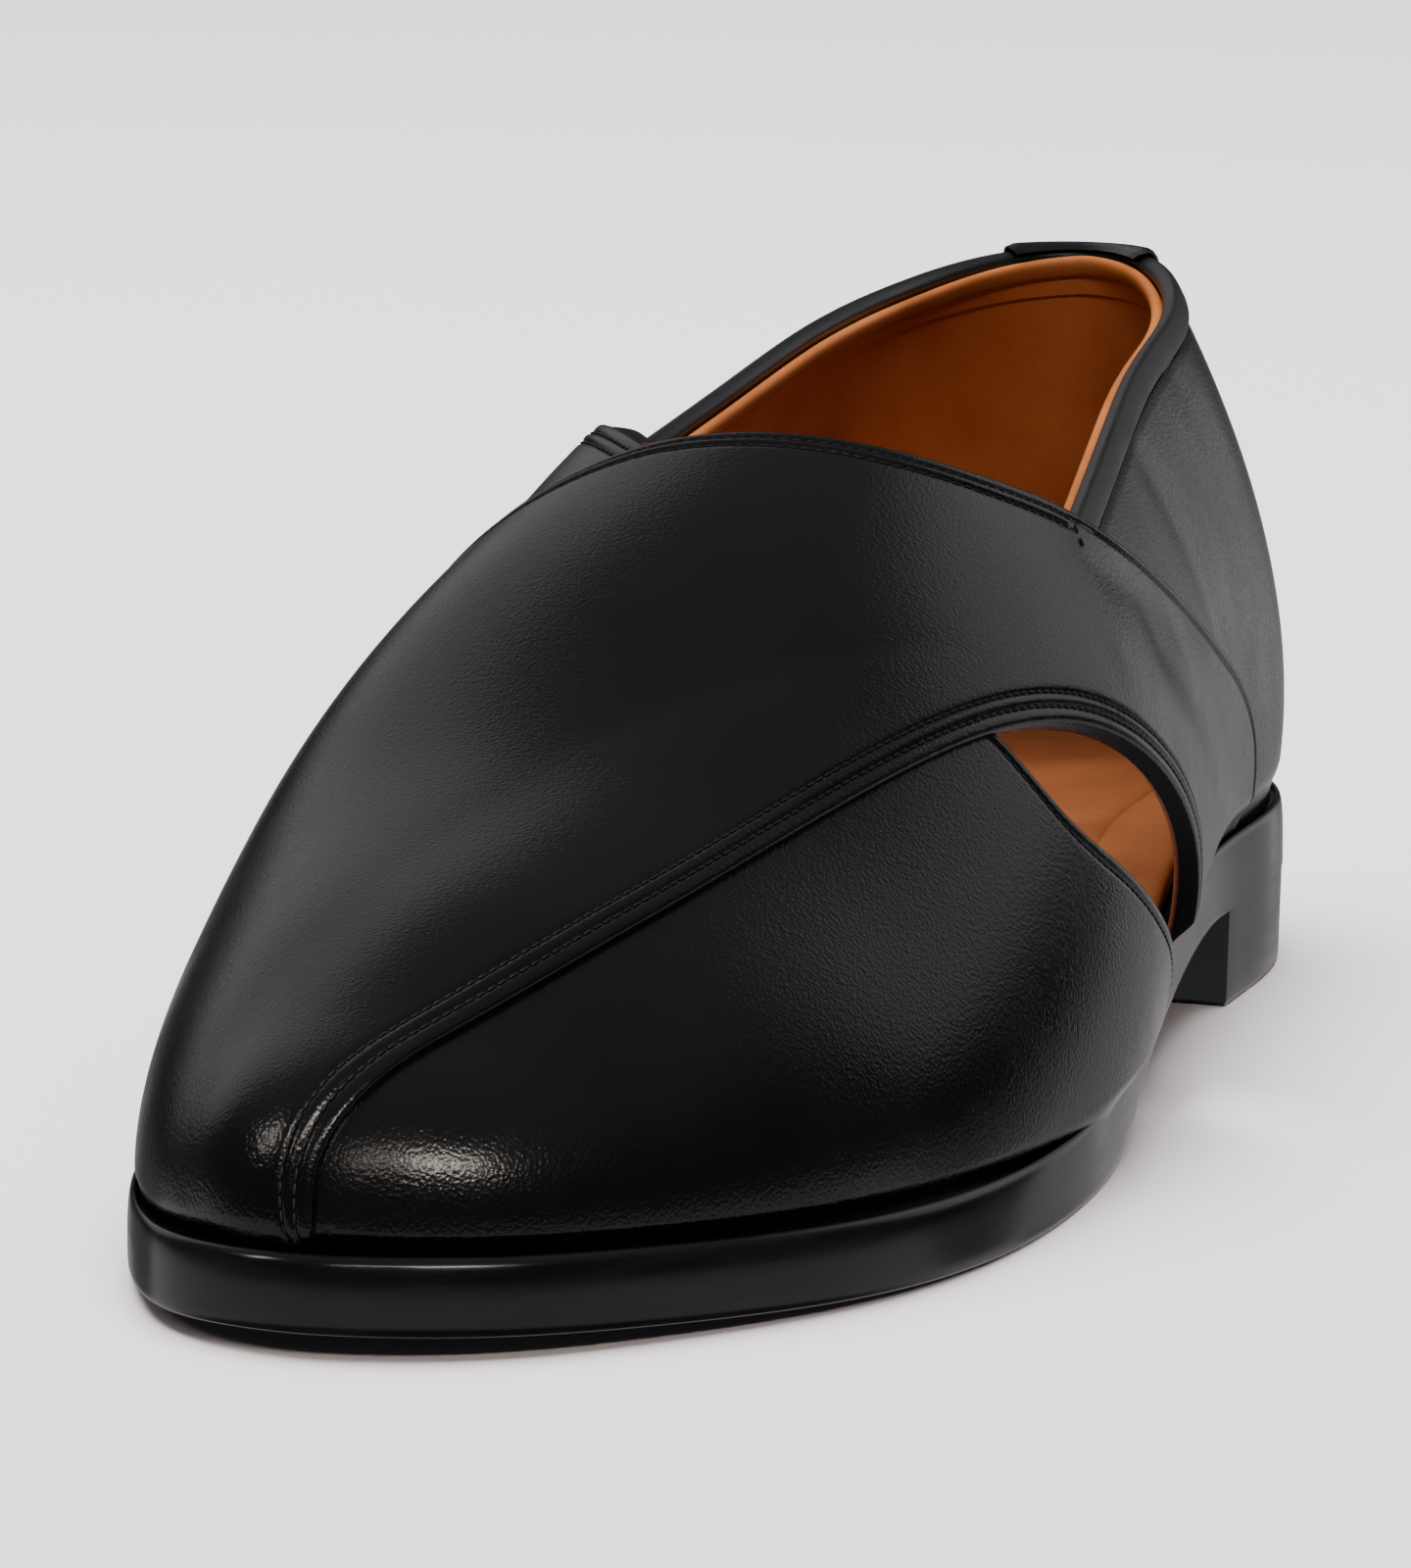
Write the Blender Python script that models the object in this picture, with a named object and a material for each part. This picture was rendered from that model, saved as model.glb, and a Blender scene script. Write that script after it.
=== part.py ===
# Closed-toe peshawari chappal, the left shoe: a cross-over leather slip-on with a low heel.
# Frame: +Z up, the toe towards -Y, the wearer's outer side towards +X, the sole standing on z = 0.
# Lengths below are millimetres and become metres when a mesh is made.

import math

import bmesh
import bpy
import numpy as np
from mathutils import Vector
from mathutils.geometry import delaunay_2d_cdt

MM = 0.001

# Driving sizes
SHOE_LENGTH = 298.0
MIDDLE_ALONG = 148.7     # middle of the whole shoe's box, from the back of the heel
MIDDLE_ACROSS = 0.9      # the same from the last's own middle line, outer side positive
SOLE_THICKNESS = 8.8
TOE_SPRING = 2.6
HEEL_HEIGHT = 12.5
HEEL_BREAST = 70.0       # front face of the heel, from the back of the sole
ARCH_FRONT = 178.0       # where the sole leaves the floor behind the ball
SPRING_START = 206.0     # where the sole leaves the floor in front of the ball
SPRING_POWER = 1.8
FIT_GAP = 0.3            # between pieces that touch
WALL = 2.0               # leather and lining of the upper
LAP = 1.3                # what an overlapping panel adds
INSOLE_THICKNESS = 2.8
INSOLE_CLEARANCE = 1.1   # from the upper's inner face
INSOLE_BEVEL = 0.6
GRID_STEP = 7.0          # spacing of the upper's facets
EDGE_STEP = 5.0          # spacing along its seams and edges
TOE_STEP = 2.6           # spacing around the toe seam
CROSS_STEP = 3.9         # spacing along the cross-over edge
NET_CLEARANCE = 0.5      # share of the spacing that facet points keep from seams and edges
GIRTH_SAMPLES = 61       # sections measured for their girth, and points round each
RUN_SAMPLES = 40         # points that measure a straight run of the net
LEAST_GIRTH = 1e-3       # the toe ends in a point
SEWN_DIGITS = 6          # places at which points of the heel's back and the toe's tip are the same
SOLE_STATIONS = 46       # points along each side of the outsole
INSOLE_STATIONS = 40
SHARP_ANGLE = 35.0       # edges sharper than this stay crisp, degrees


def columns(names, rows):
    """Turn table rows into one array for each named column."""
    return dict(zip(names, np.array(rows, float).T))


# Sections of the last, from the back of the heel to the toe.
# outer and inner are the half widths at the feather line, ridge is the top of the section,
# bulge leans the wall outwards above the feather line, full squares the shoulder of the section.
LAST = columns(
    ("along", "outer", "inner", "ridge_z", "ridge_x", "outer_bulge", "inner_bulge",
     "outer_full", "inner_full"),
    (
        (3, 0, 0, 98, 0, 0, 0, 0.54, 0.54),
        (9, 15, -15, 98, 0, 1.5, 1.5, 0.52, 0.52),
        (34, 30, -29.5, 97, 0, 6, 6, 0.46, 0.48),
        (66, 33, -29.5, 96, 0, 8, 8, 0.49, 0.53),
        (105, 37.5, -26.5, 94, 0.5, 9, 11, 0.55, 0.62),
        (135, 43, -28.5, 90.5, 1, 9.5, 14, 0.60, 0.73),
        (160, 47.5, -35, 84.5, 1, 8, 14, 0.61, 0.79),
        (195, 48.8, -46, 70, -1, 4, 8, 0.60, 0.75),
        (225, 45.5, -47.3, 54, -3, 2, 3, 0.59, 0.69),
        (255, 35.5, -40.2, 41.5, -5.5, 1.5, 0.5, 0.60, 0.65),
        (275, 21, -31.2, 31.0, -7, 1, 0, 0.63, 0.67),
        (287, 7.5, -21, 23.4, -7.5, 0.8, -0.5, 0.63, 0.64),
        (291, -7.5, -7.5, 11.35, -7.5, 0, 0, 0.60, 0.60),
    ),
)
SHOULDER = 0.45          # height of the section's side tangent, as a share of its height
FEATHER_LEVEL = 0.06     # share of the girth in which the wall's edge turns level on the sole

# Lean of the heel's back: how far forward it is at each height, fading out towards the waist
HEEL_CURVE = columns(
    ("height", "forward"),
    ((15, 3), (21, 2.2), (37, 0), (55, 1.5), (70, 5), (90, 9.5), (105, 13)),
)
HEEL_CURVE_REACH = 75.0

# Welt: how far the sole stands out beyond the feather line, by share of the last's length
WELT = columns(
    ("share", "outer", "inner"),
    ((0, 3.4, 3.4), (0.10, 3.2, 3.0), (0.24, 2.0, 1.8), (0.40, 1.4, 1.2), (0.53, 1.6, 1.6),
     (0.64, 3.6, 2.2), (0.74, 5.2, 2.4), (0.84, 6.2, 2.8), (0.92, 6.6, 4.0), (1, 6.8, 6.8)),
)

# Rounded edge of the outsole: inset from the outline and height, bottom to top
SOLE_EDGE = columns(
    ("inset", "height"),
    ((1.6, 0), (0.5, 0.5), (0, 1.6), (0, 5.6), (0.4, 7.2), (1.4, 8.4), (2.6, 8.8)),
)

LEAST_ROUNDING = 0.3     # share of that inset kept where the welt is narrow
FLUSH_REACH = 12.0       # the sole's lower rounding begins within this distance of the heel's breast

# Seams and edges of the upper. along is the share of the last's length from heel to toe,
# around the share of the girth from the outer feather line over the top to the inner one.
EDGE_COLUMNS = ("along", "around")
CROSS_EDGE = columns(EDGE_COLUMNS, (
    (1, 0.5), (0.978, 0.502), (0.957, 0.472), (0.92, 0.430), (0.874, 0.388), (0.81, 0.348),
    (0.75, 0.324), (0.664, 0.277), (0.617, 0.249)))
OUTER_STRAP_FRONT = columns(EDGE_COLUMNS, (
    (0.617, 0.249), (0.564, 0.212), (0.50, 0.150), (0.455, 0.100), (0.42, 0.05), (0.40, 0)))
OUTER_VAMP_BACK = columns(EDGE_COLUMNS, (
    (0.617, 0.249), (0.604, 0.19), (0.565, 0.13), (0.52, 0.08), (0.485, 0.04), (0.465, 0)))
THROAT = columns(EDGE_COLUMNS, (
    (0.571, 0.545), (0.566, 0.493), (0.543, 0.395), (0.518, 0.346), (0.484, 0.305), (0.458, 0.278)))
OUTER_STRAP_BACK = columns(EDGE_COLUMNS, (
    (0.458, 0.278), (0.399, 0.217), (0.304, 0.134), (0.262, 0.098), (0.238, 0.06), (0.230, 0)))
INNER_VAMP_BACK = columns(EDGE_COLUMNS, (
    (0.571, 0.545), (0.576, 0.595), (0.578, 0.64), (0.572, 0.71), (0.56, 0.79), (0.545, 0.86)))
INNER_VAMP_FOOT = columns(EDGE_COLUMNS, ((0.545, 0.86), (0.538, 0.90), (0.525, 0.95), (0.51, 1)))
INNER_STRAP_FRONT = columns(EDGE_COLUMNS, (
    (0.545, 0.86), (0.50, 0.862), (0.44, 0.872), (0.39, 0.90), (0.35, 0.945), (0.325, 1)))
INNER_STRAP_TOP = columns(EDGE_COLUMNS, (
    (0.571, 0.545), (0.553, 0.563), (0.527, 0.597), (0.47, 0.657), (0.43, 0.690)))
INNER_STRAP_BACK = columns(EDGE_COLUMNS, (
    (0.43, 0.690), (0.40, 0.725), (0.35, 0.79), (0.30, 0.85), (0.262, 0.90), (0.238, 0.945),
    (0.228, 1)))
# Top of the quarter's wall, under its binding: outer and inner side
OUTER_TOPLINE = columns(EDGE_COLUMNS, (
    (0.447, 0.266), (0.328, 0.271), (0.224, 0.289), (0.130, 0.303), (0.05, 0.318), (0, 0.322)))
INNER_TOPLINE = columns(EDGE_COLUMNS, (
    (0.413, 0.709), (0.34, 0.699), (0.266, 0.692), (0.143, 0.690), (0.05, 0.682), (0, 0.678)))

# Fading of the lap where the inner vamp panel lies on the lining alone
LAP_FADE = (8.0, 24.0)           # distance from the cross-over edge
INSTEP_FADE = (0.60, 0.74)       # share of the length, from full lap to none
FOOT_FADE = (0.76, 0.92)         # share of the girth, from full lap to none
STRAP_RISE = (0.42, 0.52)        # the inner strap climbs over the quarter between these shares

# Rolled binding: out from the wall's inner face and up from the wall's top edge
BINDING_SECTION = columns(
    ("out", "up"),
    ((-0.4, 0.3), (2.5, 0.3), (3.1, 1.0), (3.2, 2.6), (2.6, 3.8), (1.2, 4.3), (-0.3, 3.8), (-0.9, 2.6),
     (-0.9, 1.0)),
)
BINDING_SETBACK = 1              # path points left free beside the straps' corners

# Back strip: half width at the sole and at the top, its leather, and its fold over the binding
STRIP_HALF_FOOT = 6.5
STRIP_HALF_TOP = 9.5
STRIP_THICKNESS = 1.1
STRIP_COLUMNS = 8
STRIP_ROWS = 13
STRIP_STRAIGHT = 0.955           # share of the wall's height that lies flat on the quarter
STRIP_REACH = 0.12               # share of the last's length in which its width is measured
STRIP_SAMPLES = 49
STRIP_FOLD = columns(
    ("near_out", "near_up", "far_out", "far_up"),
    ((3.5, 0.6, 4.6, 0.6), (3.5, 2.8, 4.6, 3.0), (2.9, 4.1, 3.6, 4.9), (1.2, 4.6, 1.2, 5.7),
     (-0.5, 4.1, -1.2, 4.9), (-1.2, 2.8, -2.3, 3.0), (-1.2, 1.6, -2.3, 1.6)),
)

# Heel block
HEEL_INSET = 0.1
HEEL_TAPER = 0.4                 # drawn in at the floor
HEEL_BEVEL = 0.6
BREAST_HOLLOW = 1.5              # the breast curves back in the middle
BREAST_CORNER = 3.0              # the side wall's last points stay this far behind the breast
BREAST_POINTS = 7

BLACK_LEATHER = ("black_leather", (0.012, 0.012, 0.013), 0.28)
BLACK_BINDING = ("black_binding", (0.020, 0.021, 0.023), 0.42)
TAN_LEATHER = ("tan_leather", (0.42, 0.17, 0.06), 0.55)
BLACK_SOLE = ("black_sole_edge", (0.010, 0.010, 0.011), 0.32)
BLACK_HEEL = ("black_heel", (0.012, 0.012, 0.013), 0.38)


def spline(knots, values, level_ends=False):
    """Smooth cubic through the values, with level ends for a round nose where asked."""
    knots = np.asarray(knots, float)
    values = np.asarray(values, float)
    count = len(knots)
    gap = np.diff(knots)
    slope = np.diff(values) / gap
    matrix = np.zeros((count, count))
    target = np.zeros(count)
    matrix[0, 0] = 1
    matrix[-1, -1] = 1
    if level_ends:
        matrix[0, :2] = gap[0] / 3, gap[0] / 6
        matrix[-1, -2:] = gap[-1] / 6, gap[-1] / 3
        target[0] = slope[0]
        target[-1] = -slope[-1]
    for i in range(1, count - 1):
        matrix[i, i - 1:i + 2] = gap[i - 1] / 6, (gap[i - 1] + gap[i]) / 3, gap[i] / 6
        target[i] = slope[i] - slope[i - 1]
    bend = np.linalg.solve(matrix, target)

    def at(query):
        query = np.clip(np.asarray(query, float), knots[0], knots[-1])
        k = np.clip(np.searchsorted(knots, query, side="right") - 1, 0, count - 2)
        width = knots[k + 1] - knots[k]
        a = (knots[k + 1] - query) / width
        b = 1 - a
        cubic = (a ** 3 - a) * bend[k] + (b ** 3 - b) * bend[k + 1]
        return a * values[k] + b * values[k + 1] + cubic * width ** 2 / 6

    return at


def smooth_step(low, high, value):
    t = np.clip((np.asarray(value, float) - low) / (high - low), 0, 1)
    return t * t * (3 - 2 * t)


def tread_height(along):
    """Height of the outsole's underside above the floor."""
    along = np.asarray(along, float)
    reach = np.maximum((along - SPRING_START) / (SHOE_LENGTH - SPRING_START), 0)
    arch = HEEL_HEIGHT * smooth_step(0, 1, (ARCH_FRONT - along) / (ARCH_FRONT - HEEL_BREAST))
    return TOE_SPRING * reach ** SPRING_POWER + arch


def last_knots():
    half_width = (LAST["outer"] - LAST["inner"]) / 2
    steps = np.hypot(np.diff(LAST["along"]), np.diff(half_width))
    reached = np.concatenate(([0], np.cumsum(steps)))
    return reached / reached[-1], reached[-1]


LAST_SHARE, LAST_RUN = last_knots()
LAST_AT = {name: spline(LAST_SHARE, values, level_ends=name == "along") for name, values in LAST.items()}
HEEL_FORWARD = spline(HEEL_CURVE["height"], HEEL_CURVE["forward"])
WELT_AT = {side: spline(WELT["share"], WELT[side]) for side in ("outer", "inner")}


def last_point(s, v):
    """Point on the last at share s of its length and share v of its girth."""
    s, v = np.broadcast_arrays(np.asarray(s, float), np.asarray(v, float))
    row = {name: at(s) for name, at in LAST_AT.items()}
    foot_z = tread_height(row["along"]) + SOLE_THICKNESS + FIT_GAP
    ridge_z = np.maximum(row["ridge_z"], foot_z)
    outer_side = v <= 0.5
    t = np.where(outer_side, 2 * v, 2 - 2 * v)
    foot_x = np.where(outer_side, row["outer"], row["inner"])
    bulge = np.where(outer_side, row["outer_bulge"], -row["inner_bulge"])
    full = np.where(outer_side, row["outer_full"], row["inner_full"])
    side_x = foot_x + bulge
    side_z = foot_z + SHOULDER * (ridge_z - foot_z)
    top_x = row["ridge_x"] + full * (foot_x - row["ridge_x"])
    b0, b1, b2, b3 = (1 - t) ** 3, 3 * t * (1 - t) ** 2, 3 * t * t * (1 - t), t ** 3
    x = b0 * foot_x + b1 * side_x + b2 * top_x + b3 * row["ridge_x"]
    z = b0 * foot_z + b1 * side_z + (b2 + b3) * ridge_z
    fade = np.clip(1 - row["along"] / HEEL_CURVE_REACH, 0, 1) ** 2
    along = row["along"] + HEEL_FORWARD(z) * fade
    return np.stack([x - MIDDLE_ACROSS, MIDDLE_ALONG - along, z], -1)


def last_normal(s, v, step=1e-4):
    """Outward normal of the last."""
    s = np.clip(np.asarray(s, float), 2 * step, 1 - 2 * step)
    v = np.asarray(v, float)
    down_length = last_point(s + step, v) - last_point(s - step, v)
    round_girth = last_point(s, np.clip(v + step, 0, 1)) - last_point(s, np.clip(v - step, 0, 1))
    normal = np.cross(round_girth, down_length)
    normal /= np.linalg.norm(normal, axis=-1, keepdims=True)
    level = smooth_step(0, FEATHER_LEVEL, np.minimum(v, 1 - v))
    normal[..., 2] = np.where(normal[..., 2] < 0, normal[..., 2] * level, normal[..., 2])
    return normal / np.linalg.norm(normal, axis=-1, keepdims=True)


def section_girth(s):
    points = last_point(s, np.linspace(0, 1, GIRTH_SAMPLES))
    return np.linalg.norm(np.diff(points, axis=0), axis=1).sum()


GIRTH_SHARES = np.linspace(0, 1, GIRTH_SAMPLES)
GIRTHS = np.array([section_girth(s) for s in GIRTH_SHARES])


def flatten(points):
    """Lay points of the last out flat, close to their true sizes."""
    points = np.atleast_2d(points)
    girth = np.interp(points[:, 0], GIRTH_SHARES, GIRTHS)
    return np.stack([points[:, 0] * LAST_RUN, (points[:, 1] - 0.5) * girth], 1)


def unflatten(flat):
    s = np.clip(flat[:, 0] / LAST_RUN, 0, 1)
    girth = np.maximum(np.interp(s, GIRTH_SHARES, GIRTHS), LEAST_GIRTH)
    return np.stack([s, np.clip(flat[:, 1] / girth + 0.5, 0, 1)], 1)


def edge_points(table, step=EDGE_STEP):
    """Even points along a seam or edge, from a smooth curve through its table."""
    rows = np.stack([table["along"], table["around"]], 1)
    reached = np.concatenate(([0], np.cumsum(np.linalg.norm(np.diff(flatten(rows), axis=0), axis=1))))
    along = spline(reached, rows[:, 0])
    around = spline(reached, rows[:, 1])
    count = max(2, round(reached[-1] / step))
    distance = np.linspace(0, reached[-1], count + 1)
    return np.stack([along(distance), np.clip(around(distance), 0, 1)], 1)


def line_points(start, end, step=EDGE_STEP):
    """Even points along a straight run of the last's net, both ends included."""
    rough = np.linspace(start, end, RUN_SAMPLES)
    length = np.linalg.norm(np.diff(last_point(rough[:, 0], rough[:, 1]), axis=0), axis=1).sum()
    return np.linspace(start, end, max(2, round(length / step)) + 1)


def joined(*runs):
    """One run of points from several that follow each other."""
    return np.concatenate([runs[0]] + [run[1:] for run in runs[1:]])


def inside(polygon, points):
    """Which points lie inside a flat polygon."""
    ends = np.roll(polygon, -1, axis=0)
    result = np.zeros(len(points), bool)
    for (ax, ay), (bx, by) in zip(polygon, ends):
        crosses = (ay > points[:, 1]) != (by > points[:, 1])
        rise = by - ay if by != ay else 1.0
        at_x = ax + (points[:, 1] - ay) / rise * (bx - ax)
        result ^= crosses & (points[:, 0] < at_x)
    return result


def distance_to(run, points):
    """Shortest distance from each point to a flat run of points."""
    nearest = np.full(len(points), np.inf)
    for a, b in zip(run[:-1], run[1:]):
        span = b - a
        t = np.clip((points - a) @ span / max(span @ span, 1e-9), 0, 1)
        nearest = np.minimum(nearest, np.linalg.norm(points - a - t[:, None] * span, axis=1))
    return nearest


def upper_pattern():
    """Seams, edges and outlines of the upper's panels, as points of the last's net."""
    runs = {
        "cross": edge_points(CROSS_EDGE, CROSS_STEP),
        "outer_strap_front": edge_points(OUTER_STRAP_FRONT),
        "outer_vamp_back": edge_points(OUTER_VAMP_BACK),
        "throat": edge_points(THROAT),
        "outer_strap_back": edge_points(OUTER_STRAP_BACK),
        "inner_vamp_back": edge_points(INNER_VAMP_BACK),
        "inner_vamp_foot": edge_points(INNER_VAMP_FOOT),
        "inner_strap_front": edge_points(INNER_STRAP_FRONT),
        "inner_strap_top": edge_points(INNER_STRAP_TOP),
        "inner_strap_back": edge_points(INNER_STRAP_BACK),
        "outer_topline": edge_points(OUTER_TOPLINE),
        "inner_topline": edge_points(INNER_TOPLINE),
    }
    # each topline starts on the strap edge that covers it
    for topline, strap in (("outer_topline", "outer_strap_back"), ("inner_topline", "inner_strap_back")):
        runs[topline][0] = runs[strap][1]
    heel_top = runs["outer_topline"][-1, 1]
    foot = {name: run[-1, 0] for name, run in runs.items()}
    feather = {
        "outer_quarter": line_points((0, 0), (foot["outer_strap_back"], 0)),
        "outer_strap": line_points((foot["outer_strap_back"], 0), (foot["outer_strap_front"], 0)),
        "outer_vamp": line_points((foot["outer_vamp_back"], 0), (1, 0)),
        "inner_vamp": line_points((1, 1), (foot["inner_vamp_foot"], 1)),
        "inner_strap": line_points((foot["inner_strap_front"], 1), (foot["inner_strap_back"], 1)),
        "inner_quarter": line_points((foot["inner_strap_back"], 1), (0, 1)),
    }
    outer_heel = line_points((0, heel_top), (0, 0))
    inner_heel = mirrored(outer_heel)
    outline = joined(
        feather["outer_quarter"], feather["outer_strap"], runs["outer_strap_front"][::-1],
        runs["outer_vamp_back"], feather["outer_vamp"], feather["inner_vamp"],
        runs["inner_vamp_foot"][::-1], runs["inner_strap_front"], feather["inner_strap"],
        feather["inner_quarter"], inner_heel, runs["inner_topline"][::-1],
        runs["inner_strap_back"][1::-1], runs["inner_strap_top"][::-1], runs["throat"],
        runs["outer_strap_back"][:2], runs["outer_topline"], outer_heel)[:-1]
    panels = {
        "outer_vamp": joined(
            runs["outer_vamp_back"], feather["outer_vamp"], runs["cross"])[:-1],
        "outer_quarter": joined(
            feather["outer_quarter"], runs["outer_strap_back"][:0:-1], runs["outer_topline"],
            outer_heel)[:-1],
        "inner_quarter": joined(
            feather["inner_quarter"], inner_heel, runs["inner_topline"][::-1],
            runs["inner_strap_back"][1:])[:-1],
        "inner_strap": joined(
            feather["inner_strap"], runs["inner_strap_back"][::-1], runs["inner_strap_top"][::-1],
            runs["inner_vamp_back"], runs["inner_strap_front"])[:-1],
    }
    seams = (
        runs["cross"], runs["outer_strap_back"][1:], runs["inner_strap_back"][1:], runs["inner_vamp_back"])
    return {"outline": outline, "panels": panels, "seams": seams, "cross": runs["cross"],
            "outer_topline": runs["outer_topline"], "inner_topline": runs["inner_topline"]}


def mirrored(run):
    """The same run on the other side of the last, in reverse."""
    return np.stack([run[:, 0], 1 - run[:, 1]], 1)[::-1]


def panel_height(panel, net, lap_distance):
    """Height of a panel's outer face above the last."""
    s, v = net[:, 0], net[:, 1]
    if panel == "inner_vamp":
        along_edge = 1 - smooth_step(*LAP_FADE, lap_distance)
        over_instep = (1 - smooth_step(*INSTEP_FADE, s)) * (1 - smooth_step(*FOOT_FADE, v))
        return WALL + LAP * np.maximum(along_edge, over_instep)
    if panel == "inner_strap":
        return WALL + LAP * (1 - smooth_step(*STRAP_RISE, s))
    return np.full(len(net), WALL)


def net_points(pattern):
    """Points between the seams, spaced evenly over the last and closer at the toe."""
    steps = [(s, GRID_STEP) for s in np.arange(GRID_STEP, LAST_RUN - 2 * TOE_STEP, GRID_STEP) / LAST_RUN]
    steps += [(1 - distance / LAST_RUN, TOE_STEP) for distance in (TOE_STEP, 2 * TOE_STEP)]
    closed = np.concatenate([pattern["outline"], pattern["outline"][:1]])
    kept = []
    for s, step in steps:
        count = 2 * round(np.interp(s, GIRTH_SHARES, GIRTHS) / (2 * step))
        around = (np.arange(count) + 0.5) / count
        net = np.stack([np.full(count, s), around], 1)
        flat = flatten(net)
        clear = inside(flatten(pattern["outline"]), flat)
        for run in (closed,) + pattern["seams"]:
            clear &= distance_to(flatten(run), flat) > NET_CLEARANCE * step
        kept.append(net[clear])
    return np.concatenate(kept)


def cut_pattern(pattern):
    """Cut the flat pattern into triangles; returns its net points, triangles and their panels."""
    points = []
    edges = []
    for run in (np.concatenate([pattern["outline"], pattern["outline"][:1]]),) + pattern["seams"]:
        first = len(points)
        points.extend(run)
        edges.extend((i, i + 1) for i in range(first, first + len(run) - 1))
    points.extend(net_points(pattern))
    flat = np.round(flatten(np.array(points)), SEWN_DIGITS)
    cut = delaunay_2d_cdt([Vector(p) for p in flat], edges, [], 0, 1e-4)
    flat = np.array([tuple(p) for p in cut[0]])
    triangles = np.array([tuple(face) for face in cut[2]])
    middles = flat[triangles].mean(axis=1)
    kept = inside(flatten(pattern["outline"]), middles)
    triangles, middles = triangles[kept], middles[kept]
    panels = np.full(len(triangles), "inner_vamp", dtype=object)
    for name, polygon in pattern["panels"].items():
        panels[inside(flatten(polygon), middles)] = name
    return unflatten(flat), flat, triangles, panels


def sewn_numbers(net):
    """Number the net's points so that the two sides share theirs at the heel's back and the toe's tip."""
    numbers = []
    seen = {}
    for s, v in net:
        at_end = round(s, SEWN_DIGITS) in (0, 1)
        key = (round(s, SEWN_DIGITS), round(min(v, 1 - v) if at_end else v, SEWN_DIGITS))
        numbers.append(seen.setdefault(key, len(seen)))
    return np.array(numbers)


def make_upper(pattern):
    """One hollow wall: inner face on the last, outer face stepped where panels lap."""
    net, flat, triangles, panels = cut_pattern(pattern)
    lap_distance = distance_to(flatten(pattern["cross"]), flat)
    sewn = sewn_numbers(net)
    base = np.zeros((sewn.max() + 1, 3))
    normal = np.zeros_like(base)
    base[sewn] = last_point(net[:, 0], net[:, 1])
    np.add.at(normal, sewn, last_normal(net[:, 0], net[:, 1]))
    normal /= np.linalg.norm(normal, axis=1, keepdims=True)
    heights = {name: np.round(panel_height(name, net, lap_distance), 3) for name in set(panels)}

    corner = triangles[0]
    a, b, c = base[sewn[corner]]
    if np.dot(np.cross(b - a, c - a), normal[sewn[corner[0]]]) < 0:
        triangles = triangles[:, ::-1]

    mesh = bmesh.new()
    made = {}

    def vertex(point, height):
        key = (point, round(float(height), 3))
        if key not in made:
            made[key] = mesh.verts.new(Vector((base[point] + height * normal[point]) * MM))
        return made[key]

    stacks = {}
    sides = {}
    for triangle, panel in zip(triangles, panels):
        points = [int(sewn[i]) for i in triangle]
        tops = [float(heights[panel][i]) for i in triangle]
        mesh.faces.new([vertex(p, h) for p, h in zip(points, tops)])
        mesh.faces.new([vertex(p, 0) for p in reversed(points)])
        for i in range(3):
            j = (i + 1) % 3
            stacks.setdefault(points[i], {0.0}).add(round(tops[i], 3))
            sides[(points[i], points[j])] = (tops[i], tops[j])

    def chain(point, start, end):
        between = [h for h in stacks[point] if min(start, end) <= h <= max(start, end)]
        return [vertex(point, h) for h in sorted(between, reverse=start > end)]

    for (p, q), (top_p, top_q) in sides.items():
        other_q, other_p = sides.get((q, p), (0.0, 0.0))
        if (q, p) in sides and p > q:
            continue
        if top_p == other_p and top_q == other_q:
            continue
        ribbon(mesh, chain(p, top_p, other_p), chain(q, other_q, top_q))
    return finish_object("upper", mesh, BLACK_LEATHER)


def ribbon(mesh, down, up):
    """Close the strip between one chain of corners going down and the next going up."""
    for a, b in zip(down[:-1], down[1:]):
        mesh.faces.new((up[-1], a, b))
    for a, b in zip(up[:-1], up[1:]):
        mesh.faces.new((down[-1], a, b))


def welt_width(shares):
    """Width of the welt along the sole's outline, outer side heel to toe, then inner side back."""
    return np.concatenate([WELT_AT["outer"](shares), WELT_AT["inner"](shares[-2:0:-1])])


def sole_outline(shares, margin):
    """Plan outline beside the feather line: outer side heel to toe, then inner side back."""
    loop = np.concatenate([last_point(shares, 0.0), last_point(shares[-2:0:-1], 1.0)])[:, :2]
    tangent = np.roll(loop, -1, axis=0) - np.roll(loop, 1, axis=0)
    outward = np.stack([-tangent[:, 1], tangent[:, 0]], 1)
    outward /= np.linalg.norm(outward, axis=1, keepdims=True)
    return loop + outward * np.reshape(margin, (-1, 1)), outward


def even_shares(count):
    """Shares of the last's length, closer together at the round ends."""
    return (1 - np.cos(np.linspace(0, math.pi, count + 1))) * 0.25 + np.linspace(0, 0.5, count + 1)


def ring(mesh, plan, heights):
    return [mesh.verts.new(Vector((x, y, z)) * MM) for (x, y), z in zip(plan, heights)]


def close_rings(mesh, rings):
    """Skin stacked rings, lowest first, and cap both ends with rungs from side to side."""
    count = len(rings[0])
    half = count // 2
    for low, high in zip(rings[:-1], rings[1:]):
        for i in range(count):
            j = (i + 1) % count
            mesh.faces.new((low[i], low[j], high[j], high[i]))
    for loop, turned in ((rings[0], True), (rings[-1], False)):
        for i in range(half):
            face = [loop[i], loop[i + 1], loop[-i - 1], loop[-i] if i else None]
            face = list(dict.fromkeys(v for v in face if v is not None))
            mesh.faces.new(face[::-1] if turned else face)


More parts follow.
